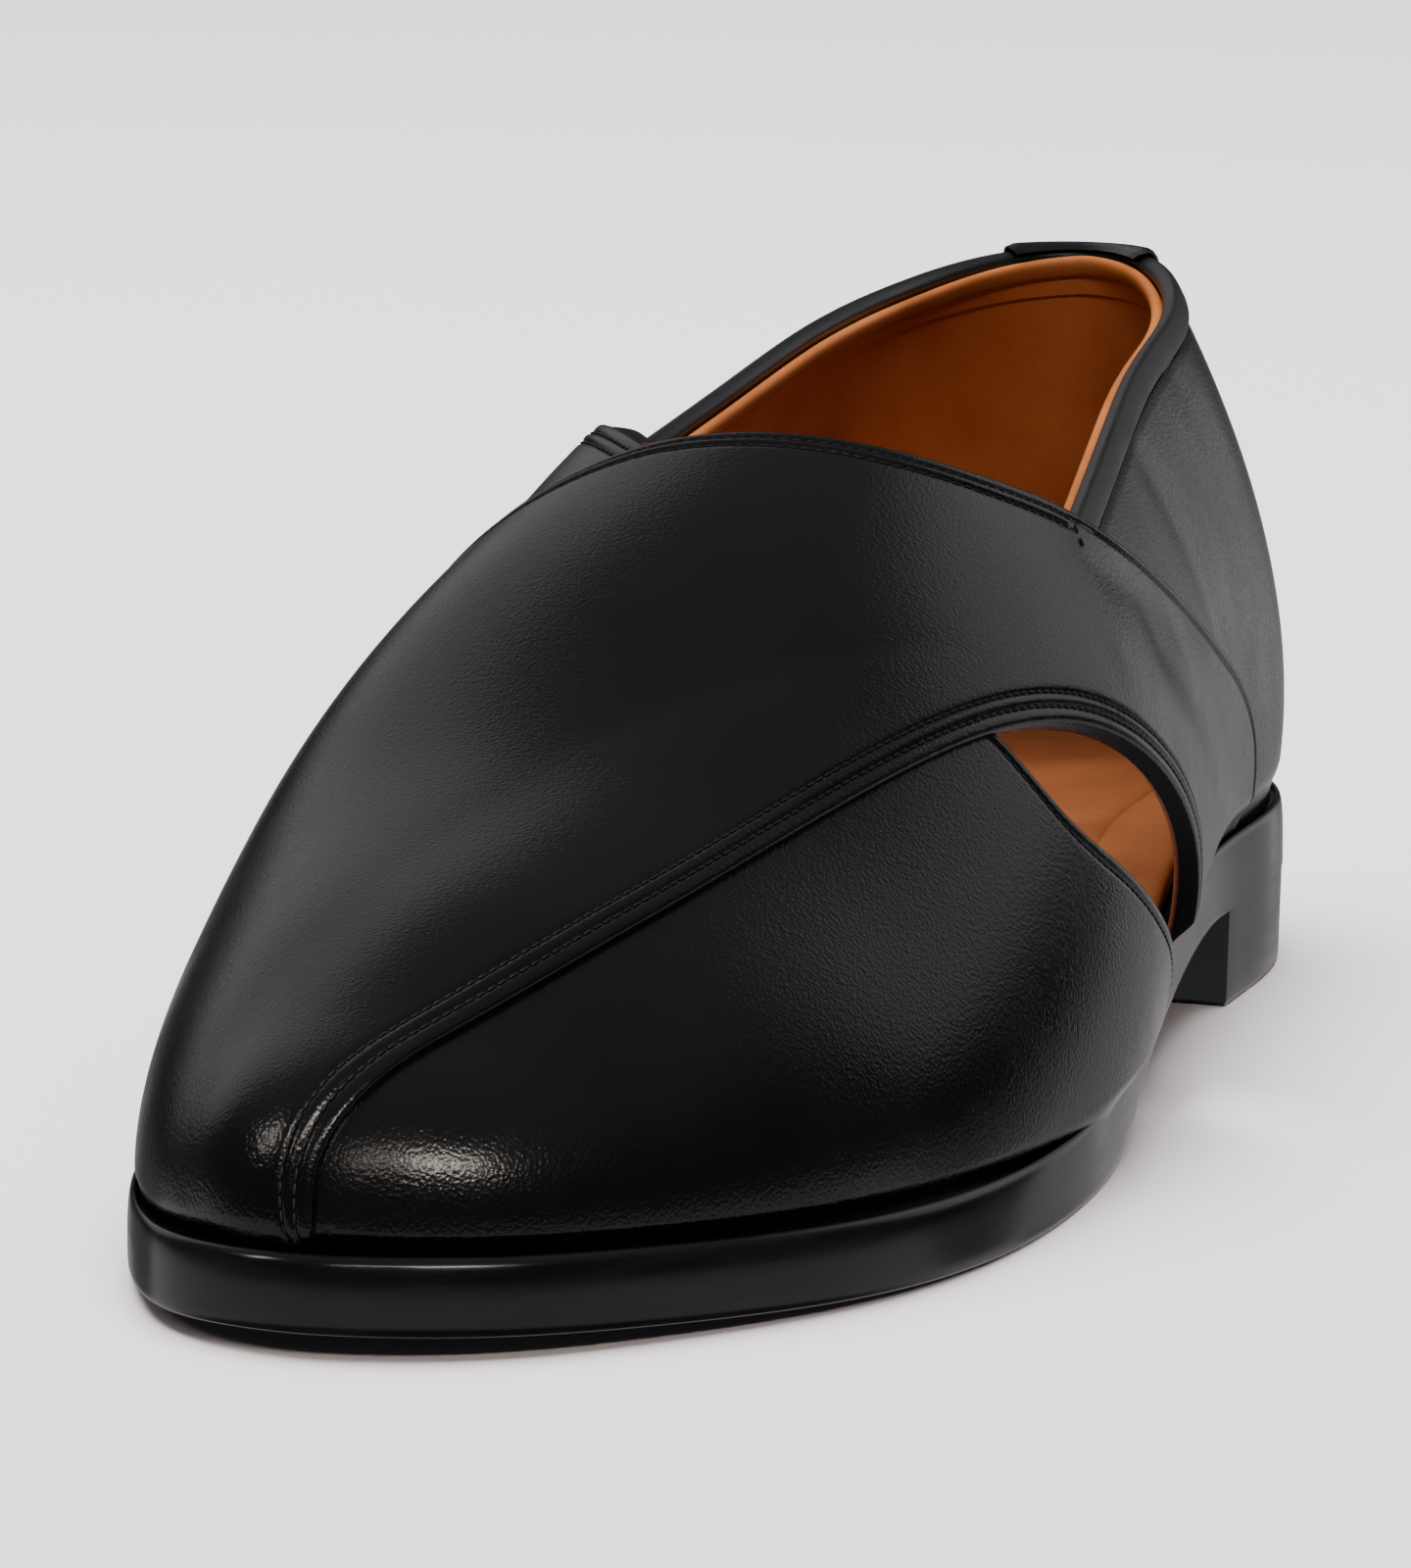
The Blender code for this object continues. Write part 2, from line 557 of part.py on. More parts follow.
def make_outsole():
    shares = even_shares(SOLE_STATIONS)
    welt = welt_width(shares)
    plan, outward = sole_outline(shares, welt)
    along = MIDDLE_ALONG - plan[:, 1]
    bottom = tread_height(along)
    rounding = np.clip(welt / welt.max(), LEAST_ROUNDING, 1)
    lower = rounding * smooth_step(HEEL_BREAST, HEEL_BREAST + FLUSH_REACH, along)
    mesh = bmesh.new()
    rings = []
    for inset, height in zip(SOLE_EDGE["inset"], SOLE_EDGE["height"]):
        drawn = lower if height < SOLE_THICKNESS / 2 else rounding
        rings.append(ring(mesh, plan - outward * (inset * drawn)[:, None], bottom + height))
    close_rings(mesh, rings)
    return finish_object("outsole", mesh, BLACK_SOLE)


def make_insole():
    shares = even_shares(INSOLE_STATIONS)
    plan, outward = sole_outline(shares, -INSOLE_CLEARANCE)
    bottom = tread_height(MIDDLE_ALONG - plan[:, 1]) + SOLE_THICKNESS + FIT_GAP
    mesh = bmesh.new()
    rows = ((0.0, 0.0), (0.0, INSOLE_THICKNESS - INSOLE_BEVEL), (INSOLE_BEVEL, INSOLE_THICKNESS))
    close_rings(mesh, [ring(mesh, plan - outward * inset, bottom + height) for inset, height in rows])
    return finish_object("insole", mesh, TAN_LEATHER)


def make_heel():
    shares = even_shares(SOLE_STATIONS)
    plan, outward = sole_outline(shares, welt_width(shares))
    along = MIDDLE_ALONG - plan[:, 1]
    behind = np.flatnonzero(along < HEEL_BREAST - BREAST_CORNER)
    middle = len(along) // 2
    sides = np.concatenate([behind[behind > middle], behind[behind < middle]])
    plan, outward = plan[sides], outward[sides]
    front_y = MIDDLE_ALONG - HEEL_BREAST
    top = HEEL_HEIGHT - FIT_GAP
    rows = ((HEEL_TAPER + HEEL_BEVEL, 0.0), (HEEL_TAPER, HEEL_BEVEL), (0.0, top))
    mesh = bmesh.new()
    rings = []
    for inset, height in rows:
        wall = plan - outward * (HEEL_INSET + inset)
        breast = []
        for t in np.linspace(0, 1, BREAST_POINTS):
            x = wall[-1, 0] + (wall[0, 0] - wall[-1, 0]) * t
            breast.append((x, front_y + BREAST_HOLLOW * 4 * t * (1 - t)))
        loop = np.concatenate([wall, np.array(breast)])
        rings.append(ring(mesh, loop, np.full(len(loop), height)))
    for low, high in zip(rings[:-1], rings[1:]):
        for i in range(len(low)):
            j = (i + 1) % len(low)
            mesh.faces.new((low[i], low[j], high[j], high[i]))
    mesh.faces.new(rings[0][::-1])
    mesh.faces.new(rings[-1])
    return finish_object("heel", mesh, BLACK_HEEL)


def edge_frames(run):
    """Points of a run on the last with their outward and upward directions."""
    points = last_point(run[:, 0], run[:, 1])
    normals = last_normal(run[:, 0], run[:, 1])
    tangents = np.gradient(points, axis=0)
    ups = np.cross(tangents, normals)
    ups /= np.linalg.norm(ups, axis=1, keepdims=True)
    ups *= np.where(ups[:, 2:] < 0, -1, 1)
    return points, normals, ups


def make_binding(topline):
    points, normals, ups = edge_frames(topline)
    inner = slice(BINDING_SETBACK, -BINDING_SETBACK)
    mesh = bmesh.new()
    loops = []
    for point, normal, up in zip(points[inner], normals[inner], ups[inner]):
        corners = [point + out * normal + rise * up
                   for out, rise in zip(BINDING_SECTION["out"], BINDING_SECTION["up"])]
        loops.append([mesh.verts.new(Vector(corner) * MM) for corner in corners])
    skin_loops(mesh, loops)
    return finish_object("topline_binding", mesh, BLACK_BINDING)


def skin_loops(mesh, loops):
    """Skin a row of closed loops and cap its two ends."""
    count = len(loops[0])
    for a, b in zip(loops[:-1], loops[1:]):
        for i in range(count):
            j = (i + 1) % count
            mesh.faces.new((a[i], a[j], b[j], b[i]))
    mesh.faces.new(loops[0][::-1])
    mesh.faces.new(loops[-1])


def make_back_strip(heel_top):
    """Strip down the heel's back, folded over the binding's top."""
    near = WALL + FIT_GAP
    far = near + STRIP_THICKNESS
    around = np.append(np.linspace(0, STRIP_STRAIGHT * heel_top, STRIP_ROWS), heel_top)
    half = STRIP_HALF_FOOT + (STRIP_HALF_TOP - STRIP_HALF_FOOT) * around / heel_top
    mesh = bmesh.new()
    loops = []
    for share in np.linspace(-1, 1, STRIP_COLUMNS + 1):
        along = share_at(abs(share) * half, around)
        side = 1 - around if share < 0 else around
        points = last_point(along, side)
        normals = last_normal(along, side)
        top, out = points[-1], normals[-1]
        up = points[-1] - points[-2]
        up /= np.linalg.norm(up)
        near_side = [p + near * n for p, n in zip(points[:-1], normals[:-1])]
        far_side = [p + far * n for p, n in zip(points[:-1], normals[:-1])]
        near_side += [top + a * out + b * up for a, b in zip(STRIP_FOLD["near_out"], STRIP_FOLD["near_up"])]
        far_side += [top + a * out + b * up for a, b in zip(STRIP_FOLD["far_out"], STRIP_FOLD["far_up"])]
        loops.append([mesh.verts.new(Vector(corner) * MM) for corner in far_side + near_side[::-1]])
    skin_loops(mesh, loops)
    return finish_object("back_strip", mesh, BLACK_LEATHER)


def share_at(widths, around):
    """Share of the length at which the heel is this far round from the middle of its back."""
    shares = np.linspace(0, STRIP_REACH, STRIP_SAMPLES)
    result = []
    for width, v in zip(widths, around):
        points = last_point(shares, v)
        reached = np.concatenate(([0], np.cumsum(np.linalg.norm(np.diff(points, axis=0), axis=1))))
        result.append(np.interp(width, reached, shares))
    return np.array(result)


def material(name, color, roughness):
    made = bpy.data.materials.get(name)
    if made:
        return made
    made = bpy.data.materials.new(name)
    made.use_nodes = True
    shader = made.node_tree.nodes["Principled BSDF"]
    shader.inputs["Base Color"].default_value = (*color, 1)
    shader.inputs["Roughness"].default_value = roughness
    shader.inputs["Metallic"].default_value = 0.0
    return made


def finish_object(name, mesh, finish):
    """Turn a bmesh into a named object with its faces pointing out."""
    bmesh.ops.triangulate(mesh, faces=mesh.faces)
    bmesh.ops.recalc_face_normals(mesh, faces=mesh.faces)
    data = bpy.data.meshes.new(name)
    mesh.to_mesh(data)
    mesh.free()
    data.shade_smooth()
    data.set_sharp_from_angle(angle=math.radians(SHARP_ANGLE))
    data.materials.append(material(*finish))
    made = bpy.data.objects.new(name, data)
    bpy.context.collection.objects.link(made)
    return made


def main():
    for old in list(bpy.data.objects):
        bpy.data.objects.remove(old)
    pattern = upper_pattern()
    topline = joined(pattern["outer_topline"], pattern["inner_topline"][::-1])
    make_upper(pattern)
    make_binding(topline)
    make_back_strip(float(pattern["outer_topline"][-1, 1]))
    make_insole()
    make_outsole()
    make_heel()


main()
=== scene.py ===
import math

import bpy
import numpy as np
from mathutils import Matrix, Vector


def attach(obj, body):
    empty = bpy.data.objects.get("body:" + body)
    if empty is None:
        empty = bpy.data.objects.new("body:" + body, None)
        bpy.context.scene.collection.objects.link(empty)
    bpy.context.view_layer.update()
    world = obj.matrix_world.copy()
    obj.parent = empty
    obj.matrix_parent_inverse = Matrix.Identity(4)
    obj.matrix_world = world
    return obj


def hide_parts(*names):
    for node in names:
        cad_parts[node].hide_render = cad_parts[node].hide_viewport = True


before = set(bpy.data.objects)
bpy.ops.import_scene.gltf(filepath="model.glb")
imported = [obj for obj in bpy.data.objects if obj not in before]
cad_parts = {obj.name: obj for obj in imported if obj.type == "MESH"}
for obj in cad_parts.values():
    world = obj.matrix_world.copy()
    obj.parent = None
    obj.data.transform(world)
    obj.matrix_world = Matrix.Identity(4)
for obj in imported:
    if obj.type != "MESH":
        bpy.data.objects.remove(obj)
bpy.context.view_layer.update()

MM = 0.001

# Sizes of the shoe
SHOE_LENGTH = 298.0
MIDDLE_ALONG = 148.7
MIDDLE_ACROSS = 0.9
SOLE_THICKNESS = 8.8
TOE_SPRING = 2.6
HEEL_HEIGHT = 12.5
HEEL_BREAST = 70.0
ARCH_FRONT = 178.0
SPRING_START = 206.0
SPRING_POWER = 1.8
FIT_GAP = 0.3
WALL = 2.0
LAP = 1.3
SHOULDER = 0.45
FEATHER_LEVEL = 0.06
HEEL_CURVE_REACH = 75.0
LEAST_GIRTH = 1e-3
GIRTH_SAMPLES = 121
LEAST_SPAN = 1e-9
NORMAL_STEP = 1e-4  # steps of the net over which a normal is taken
NORMAL_ENDS = (2 * NORMAL_STEP, 1 - 20 * NORMAL_STEP)
END_SPAN = 3  # points that give a run's direction at its end


def columns(names, rows):
    """Turn table rows into one array for each named column."""
    return dict(zip(names, np.array(rows, float).T))


# Sections of the last from the back of the heel to the toe
LAST = columns(
    ("along", "outer", "inner", "ridge_z", "ridge_x", "outer_bulge", "inner_bulge",
     "outer_full", "inner_full"),
    (
        (3, 0, 0, 98, 0, 0, 0, 0.54, 0.54),
        (9, 15, -15, 98, 0, 1.5, 1.5, 0.52, 0.52),
        (34, 30, -29.5, 97, 0, 6, 6, 0.46, 0.48),
        (66, 33, -29.5, 96, 0, 8, 8, 0.49, 0.53),
        (105, 37.5, -26.5, 94, 0.5, 9, 11, 0.55, 0.62),
        (135, 43, -28.5, 90.5, 1, 9.5, 14, 0.60, 0.73),
        (160, 47.5, -35, 84.5, 1, 8, 14, 0.61, 0.79),
        (195, 48.8, -46, 70, -1, 4, 8, 0.60, 0.75),
        (225, 45.5, -47.3, 54, -3, 2, 3, 0.59, 0.69),
        (255, 35.5, -40.2, 41.5, -5.5, 1.5, 0.5, 0.60, 0.65),
        (275, 21, -31.2, 31.0, -7, 1, 0, 0.63, 0.67),
        (287, 7.5, -21, 23.4, -7.5, 0.8, -0.5, 0.63, 0.64),
        (291, -7.5, -7.5, 11.35, -7.5, 0, 0, 0.60, 0.60),
    ),
)
HEEL_CURVE = columns(
    ("height", "forward"),
    ((15, 3), (21, 2.2), (37, 0), (55, 1.5), (70, 5), (90, 9.5), (105, 13)),
)
WELT = columns(
    ("share", "outer", "inner"),
    ((0, 3.4, 3.4), (0.10, 3.2, 3.0), (0.24, 2.6, 1.8), (0.37, 1.0, 1.3), (0.47, -0.4, 1.4),
     (0.53, -0.3, 1.6), (0.60, 1.4, 2.0), (0.66, 3.2, 2.3), (0.74, 5.2, 2.4), (0.84, 6.2, 2.8),
     (0.92, 6.6, 4.0), (1, 6.8, 6.8)),
)

# Panel edges: share of the last's length, share of the girth from the outer feather line over the top
CROSS_EDGE = (
    (1, 0.5), (0.978, 0.502), (0.957, 0.472), (0.92, 0.430), (0.874, 0.388), (0.81, 0.348),
    (0.75, 0.324), (0.664, 0.277), (0.617, 0.249))
CROSS_AND_STRAP_FRONT = CROSS_EDGE + (
    (0.564, 0.212), (0.50, 0.150), (0.455, 0.100), (0.42, 0.05), (0.40, 0))
OUTER_STRAP_BACK = (
    (0.458, 0.278), (0.399, 0.217), (0.304, 0.134), (0.262, 0.098), (0.238, 0.06), (0.230, 0))
THROAT_AND_STRAP_BACK = (
    (0.563, 0.545), (0.558, 0.493), (0.534, 0.395), (0.510, 0.346), (0.480, 0.305)) + OUTER_STRAP_BACK
INNER_VAMP_BACK = (
    (0.51, 1), (0.525, 0.95), (0.538, 0.90), (0.545, 0.86), (0.558, 0.79), (0.567, 0.71), (0.570, 0.64),
    (0.568, 0.595), (0.563, 0.545))
OUTER_VAMP_BACK = (
    (0.617, 0.249), (0.604, 0.19), (0.565, 0.13), (0.52, 0.08), (0.485, 0.04), (0.465, 0))
INNER_STRAP_FRONT = (
    (0.545, 0.86), (0.50, 0.862), (0.44, 0.872), (0.39, 0.90), (0.35, 0.945), (0.325, 1))
INNER_STRAP_END = (
    (0.43, 0.690), (0.40, 0.725), (0.35, 0.79), (0.30, 0.85), (0.262, 0.90), (0.238, 0.945), (0.228, 1))
INNER_STRAP_BACK = (
    (0.563, 0.545), (0.550, 0.566), (0.529, 0.597), (0.483, 0.652)) + INNER_STRAP_END
OUTER_TOPLINE = (
    (0.447, 0.266), (0.328, 0.271), (0.224, 0.289), (0.130, 0.303), (0.05, 0.318), (0, 0.322))
INNER_TOPLINE = (
    (0.413, 0.709), (0.34, 0.699), (0.266, 0.692), (0.143, 0.690), (0.05, 0.682), (0, 0.678))

# Where the inner vamp panel settles from the lap onto the lining, and the inner strap climbs the quarter
LAP_FADE = (8.0, 24.0)
INSTEP_FADE = (0.60, 0.74)
FOOT_FADE = (0.76, 0.92)
STRAP_RISE = (0.42, 0.52)
FLARE = 2.2  # how far the inner strap stands off at its upper corner
FLARE_PLACE = (0.495, 0.648)
FLARE_REACH = 17.0

# Leather work
LINING = 0.7  # thickness of the lining
UNDERLAP = 7.0  # how far a panel runs on under the one above it
TUCK = 1.9  # how far the panels reach down into the groove behind the sole's rim
TUCK_SHARE = 0.014  # share of the girth in which they do
TUCK_ROOM = (0.4, 2.0)  # margins of the sole between which there is room for it
FOLD_RADIUS = 0.75  # roundness of a folded panel edge
LASTED_IN = 0.75  # how far the leather is drawn in at its foot, before the waist
LASTED_LEFT = 0.85  # height that is left of it at the foot, behind the waist
LASTED_REACH = (4.0, 2.0)
WAIST = (0.38, 0.48)
STRAP_GROOVE = (1.5,)  # line pressed along the plain back edge of the outer strap
STRAP_GROOVE_SHARE = 1.5
COLLAR_SEAM = (0.9,)  # seam of the binding, below the topline
TURNED_IN = 5  # rows of a net that the lining stays back from a folded edge
TURNED_OVER = 24  # rows where the strap's leather is turned over the lining
STITCH_ROWS = (1.7, 3.3)  # double row, distance from the folded edge
SINGLE_ROW = (1.7,)
GROOVE_DEPTH = 0.26
GROOVE_WIDTH = 0.30
PADDING = 0.14  # leather puffs up between the rows
STITCH_PITCH = 1.6
STITCH_LENGTH = 1.35
STITCH_RADIUS = 0.19
STITCH_SUNK = GROOVE_DEPTH - STITCH_RADIUS * 0.6
STITCH_LOOK = 0.6  # a stitch takes its direction from this far ahead and behind
TACK_AROUND = (0.278, 0.292)  # the double rows of the throat end in a bar tack here
TACK_PLACE = (0.470, 0.290)
TACK_REACH = (2.2, 5.6)
TACK_NEIGHBOURS = 3  # points on each side that give the edge's direction there
TACK_POINTS = 9
EDGE_STEPS = (0, 0.05, 0.14, 0.28, 0.46, 0.70, 0.95, 1.20, 1.40, 1.55, 1.70, 1.85, 2.00, 2.20, 2.5,
              2.8, 3.02, 3.16, 3.3, 3.44, 3.58, 3.8, 4.3, 5.2, 6.6)
SEWN = 1e-6  # points closer than this are one, metres
PLY_GAP = 0.04  # between leather and lining

# A point inside each stitched panel, and the stretch of each edge's points that is stitched
INSIDE_VAMP = (0.70, 0.6)
INSIDE_THROAT = (0.60, 0.3)
INSIDE_OUTER_VAMP = (0.75, 0.1)
INSIDE_STRAP = (0.42, 0.78)
CROSS_STITCHED = slice(3, -2)
THROAT_STITCHED = slice(2, None)
OUTER_STITCHED = slice(1, -6)
STRAP_FRONT_STITCHED = slice(2, -2)
STRAP_BACK_STITCHED = slice(3, -2)

# Soft waves the leather has taken: start, end, reach, depth
STRAP_WAVES = (
    ((0.475, 0.255), (0.395, 0.180), 4.0, 0.35),
    ((0.50, 0.215), (0.42, 0.135), 4.5, -0.25),
    ((0.44, 0.19), (0.36, 0.10), 4.0, 0.30),
)
QUARTER_WAVES = (
    ((0.31, 0.24), (0.28, 0.13), 5.0, 0.30),
    ((0.20, 0.27), (0.19, 0.08), 6.0, 0.25),
    ((0.12, 0.72), (0.16, 0.90), 6.0, 0.25),
    ((0.27, 0.72), (0.22, 0.86), 5.0, 0.30),
)

# How finely the pieces are laid out
VAMP_COLUMNS, VAMP_ROWS = 300, 40
OUTER_COLUMNS, OUTER_ROWS = 130, 110
STRAP_COLUMNS, STRAP_ROWS = 150, 24
QUARTER_COLUMNS, QUARTER_ROWS = 170, 40
SEAM_STEPS = (0, 0.3, 0.55, 0.72, 0.9, 1.08, 1.25, 1.5, 2.2, 3.5)
FOOT_STEPS = (0, 0.5, 1, 1.6, 2.2, 3, 4)
TOE_STEPS = (0, 0.3, 0.8, 1.6, 3.0)
WAVE_POINTS = 12
COLLAR_STATIONS = 220
SOLE_STATIONS = 200
INSOLE_STATIONS = 120

# Room: glow by the height of a direction, as lower height, upper height, glow below and glow above
CEILING = (0.35, 0.85, 0.06, 0.19)
FLOOR = (-0.16, 0.0, 0.52, 0.0)
BESIDE = (-0.72, -0.45, 0.0, 1.0)  # straight below, the floor lies in the shoe's own shade
FLOOR_RADIUS = 8.0  # metres
# Pale screens round the shoe: middle, edge and full as cosines from it, glow
SCREENS = (
    ((0.27, 0.96, -0.06), 0.965, 0.99, 0.52),
    ((0.44, 0.79, 0.43), 0.90, 0.99, 0.60),
    ((-0.62, 0.64, 0.45), 0.87, 0.965, 0.42),
)
# Parts of the room that lie in shade: middle, edge and full as cosines from it, share of glow left
SHADES = (
    ((0.60, 0.80, -0.05), 0.955, 0.985, 0.25),
    ((0.20, 0.93, -0.32), 0.972, 0.992, 0.85),
    ((-0.66, 0.75, -0.08), 0.96, 0.985, 0.20),
    ((0.26, 0.95, -0.20), 0.991, 0.998, 0.40),
    ((-0.03, 0.995, -0.08), 0.984, 0.998, 0.55),
)

# Collar, sole, insole, heel and back strip
BINDING_REACH = 7.0
# Sections of the two beads: middle and half size as out and up, squareness, points
BINDING = ((1.7, 1.45), (1.35, 1.95), 3.0, 36)
LINING_ROLL = ((-0.7, 1.55), (0.9, 1.4), 2.2, 18)
FACING = 0.6
FACING_SPAN = (-0.8, 2.4)  # from above the topline to below it
FACING_ROWS = 15
LEAST_ROUNDING = 0.3
FLUSH_REACH = 12.0
SOLE_PROFILE = (
    (1.6, 0.0), (1.0, 0.06), (0.55, 0.26), (0.26, 0.6), (0.1, 1.1), (0.03, 1.8), (0.0, 3.0), (0.02, 4.6),
    (0.09, 5.7), (0.2, 6.6), (0.34, 7.3), (0.52, 7.9), (0.78, 8.35), (1.12, 8.65), (1.6, 8.79), (2.1, 8.72),
    (2.5, 8.4), (2.9, 7.85), (3.4, 7.4), (4.2, 7.15), (6.4, 7.05), (8.0, 7.0))
SOLE_UNDER_SHARES = (1.0, 0.75, 0.5, 0.25, 0.08)  # how far rows are drawn in to the middle
SOLE_TOP_SHARES = (0.1, 0.4, 1.0)
INSEAM_REACH = (1.35, 0.95)  # how far the inseam stands out behind the waist and before it
INSEAM_COVER = 0.15  # it stays this far behind the sole's edge
INSEAM_PROFILE = ((0, 8.2), (0, 10.4), (0.15, 10.75), (0.4, 10.9), (0.9, 10.9), (1.0, 8.2), (0, 8.2))
INSOLE_CLEARANCE = 1.1
INSOLE_THICKNESS = 2.8
# Insole's edge from its underside up: inset, height, how far drawn in to the middle
INSOLE_EDGE = (
    (1.0, 0.0, 1.0), (1.0, 0.0, 0.4), (0.6, 0.0, 0.0), (0.0, 0.5, 0.0), (0.0, 1.7, 0.0),
    (0.25, 2.3, 0.0), (0.8, 2.7, 0.0), (1.6, INSOLE_THICKNESS, 0.0))
INSOLE_SHARES = (0.1, 0.25, 0.5, 0.75, 1.0)
SOCK_LINE = 10.5  # line pressed in this far from the insole's edge
SOCK_GROOVE = ((-0.6, 0.0), (-0.25, 0.28), (0.0, 0.4), (0.25, 0.28), (0.6, 0.0))
HEEL_INSET = 0.1
HEEL_TAPER = 0.4
HEEL_SEAM = 0.06  # between the heel block and the sole
HEEL_SPINE = (100.0, 118.0)
# Heel block from floor to sole: inset, share of its height, how far drawn in to the middle
HEEL_PROFILE = (
    (1.0, 0.0, 1.0), (1.0, 0.0, 0.5), (0.75, 0.0, 0.0), (0.3, 0.015, 0.0), (0.0, 0.06, 0.0),
    (0.0, 0.5, 0.0), (0.0, 1.0, 0.0), (0.0, 1.0, 0.5), (0.0, 1.0, 1.0))
BREAST_HOLLOW = 1.5
BREAST_CORNER = 3.0
BREAST_POINTS = 24
STRIP_HALF_FOOT = 6.5
STRIP_HALF_TOP = 9.5
STRIP_THICKNESS = 1.1
STRIP_EDGE = (0.86, 1.0)  # where the strip is thinned towards its sides
STRIP_THINNED = 0.55
STRIP_CLEAR = 0.05
STRIP_LIFT = 0.2
STRIP_COLUMNS = 36
STRIP_ROWS = 13
STRIP_POINTS = 90
STRIP_STRAIGHT = 0.955
STRIP_REACH = 0.12
STRIP_SAMPLES = 49
# Fold over the binding: near side out and up, far side out and up
STRIP_FOLD = (
    (3.15, 0.6, 3.95, 0.6), (3.15, 2.3, 3.9, 2.4), (2.6, 3.25, 3.0, 3.65), (1.15, 3.45, 1.15, 3.95),
    (0.1, 3.3, -0.2, 3.6))


def spline(knots, values, level_ends=False):
    """Smooth cubic through the values, with level ends for a round nose where asked."""
    knots = np.asarray(knots, float)
    values = np.asarray(values, float)
    count = len(knots)
    gap = np.diff(knots)
    slope = np.diff(values) / gap
    matrix = np.zeros((count, count))
    target = np.zeros(count)
    matrix[0, 0] = 1
    matrix[-1, -1] = 1
    if level_ends:
        matrix[0, :2] = gap[0] / 3, gap[0] / 6
        matrix[-1, -2:] = gap[-1] / 6, gap[-1] / 3
        target[0] = slope[0]
        target[-1] = -slope[-1]
    for i in range(1, count - 1):
        matrix[i, i - 1:i + 2] = gap[i - 1] / 6, (gap[i - 1] + gap[i]) / 3, gap[i] / 6
        target[i] = slope[i] - slope[i - 1]
    bend = np.linalg.solve(matrix, target)

    def at(query):
        query = np.clip(np.asarray(query, float), knots[0], knots[-1])
        k = np.clip(np.searchsorted(knots, query, side="right") - 1, 0, count - 2)
        width = knots[k + 1] - knots[k]
        a = (knots[k + 1] - query) / width
        b = 1 - a
        cubic = (a ** 3 - a) * bend[k] + (b ** 3 - b) * bend[k + 1]
        return a * values[k] + b * values[k + 1] + cubic * width ** 2 / 6

    return at


def smooth_step(low, high, value):
    t = np.clip((np.asarray(value, float) - low) / (high - low), 0, 1)
    return t * t * (3 - 2 * t)


def tread_height(along):
    """Height of the outsole's underside above the floor."""
    along = np.asarray(along, float)
    reach = np.maximum((along - SPRING_START) / (SHOE_LENGTH - SPRING_START), 0)
    arch = HEEL_HEIGHT * smooth_step(0, 1, (ARCH_FRONT - along) / (ARCH_FRONT - HEEL_BREAST))
    return TOE_SPRING * reach ** SPRING_POWER + arch


def last_knots():
    half_width = (LAST["outer"] - LAST["inner"]) / 2
    steps = np.hypot(np.diff(LAST["along"]), np.diff(half_width))
    reached = np.concatenate(([0], np.cumsum(steps)))
    return reached / reached[-1], reached[-1]


LAST_SHARE, LAST_RUN = last_knots()
LAST_AT = {name: spline(LAST_SHARE, values, level_ends=name == "along") for name, values in LAST.items()}
HEEL_FORWARD = spline(HEEL_CURVE["height"], HEEL_CURVE["forward"])
WELT_AT = {side: spline(WELT["share"], WELT[side]) for side in ("outer", "inner")}


def last_point(s, v):
    """Point on the last at share s of its length and share v of its girth."""
    s, v = np.broadcast_arrays(np.asarray(s, float), np.asarray(v, float))
    row = {name: at(s) for name, at in LAST_AT.items()}
    foot_z = tread_height(row["along"]) + SOLE_THICKNESS + FIT_GAP
    ridge_z = np.maximum(row["ridge_z"], foot_z)
    outer_side = v <= 0.5
    t = np.where(outer_side, 2 * v, 2 - 2 * v)
    foot_x = np.where(outer_side, row["outer"], row["inner"])
    bulge = np.where(outer_side, row["outer_bulge"], -row["inner_bulge"])
    full = np.where(outer_side, row["outer_full"], row["inner_full"])
    side_x = foot_x + bulge
    side_z = foot_z + SHOULDER * (ridge_z - foot_z)
    top_x = row["ridge_x"] + full * (foot_x - row["ridge_x"])
    b0, b1, b2, b3 = (1 - t) ** 3, 3 * t * (1 - t) ** 2, 3 * t * t * (1 - t), t ** 3
    x = b0 * foot_x + b1 * side_x + b2 * top_x + b3 * row["ridge_x"]
    z = b0 * foot_z + b1 * side_z + (b2 + b3) * ridge_z
    fade = np.clip(1 - row["along"] / HEEL_CURVE_REACH, 0, 1) ** 2
    along = row["along"] + HEEL_FORWARD(z) * fade
    return np.stack([x - MIDDLE_ACROSS, MIDDLE_ALONG - along, z], -1)


def unit(vectors):
    return vectors / np.linalg.norm(vectors, axis=-1, keepdims=True)


def last_normal(s, v):
    """Outward normal of the last, level at the feather line."""
    s = np.clip(np.asarray(s, float), *NORMAL_ENDS)
    v = np.asarray(v, float)
    down_length = last_point(s + NORMAL_STEP, v) - last_point(s - NORMAL_STEP, v)
    before, after = np.clip(v - NORMAL_STEP, 0, 1), np.clip(v + NORMAL_STEP, 0, 1)
    normal = unit(np.cross(last_point(s, after) - last_point(s, before), down_length))
    level = smooth_step(0, FEATHER_LEVEL, np.minimum(v, 1 - v))
    normal[..., 2] = np.where(normal[..., 2] < 0, normal[..., 2] * level, normal[..., 2])
    return unit(normal)


def section_girth(s):
    points = last_point(s, np.linspace(0, 1, GIRTH_SAMPLES))
    return np.linalg.norm(np.diff(points, axis=0), axis=1).sum()


GIRTH_SHARES = np.linspace(0, 1, GIRTH_SAMPLES)
GIRTHS = np.array([section_girth(s) for s in GIRTH_SHARES])


def girth_at(s):
    return np.maximum(np.interp(s, GIRTH_SHARES, GIRTHS), LEAST_GIRTH)


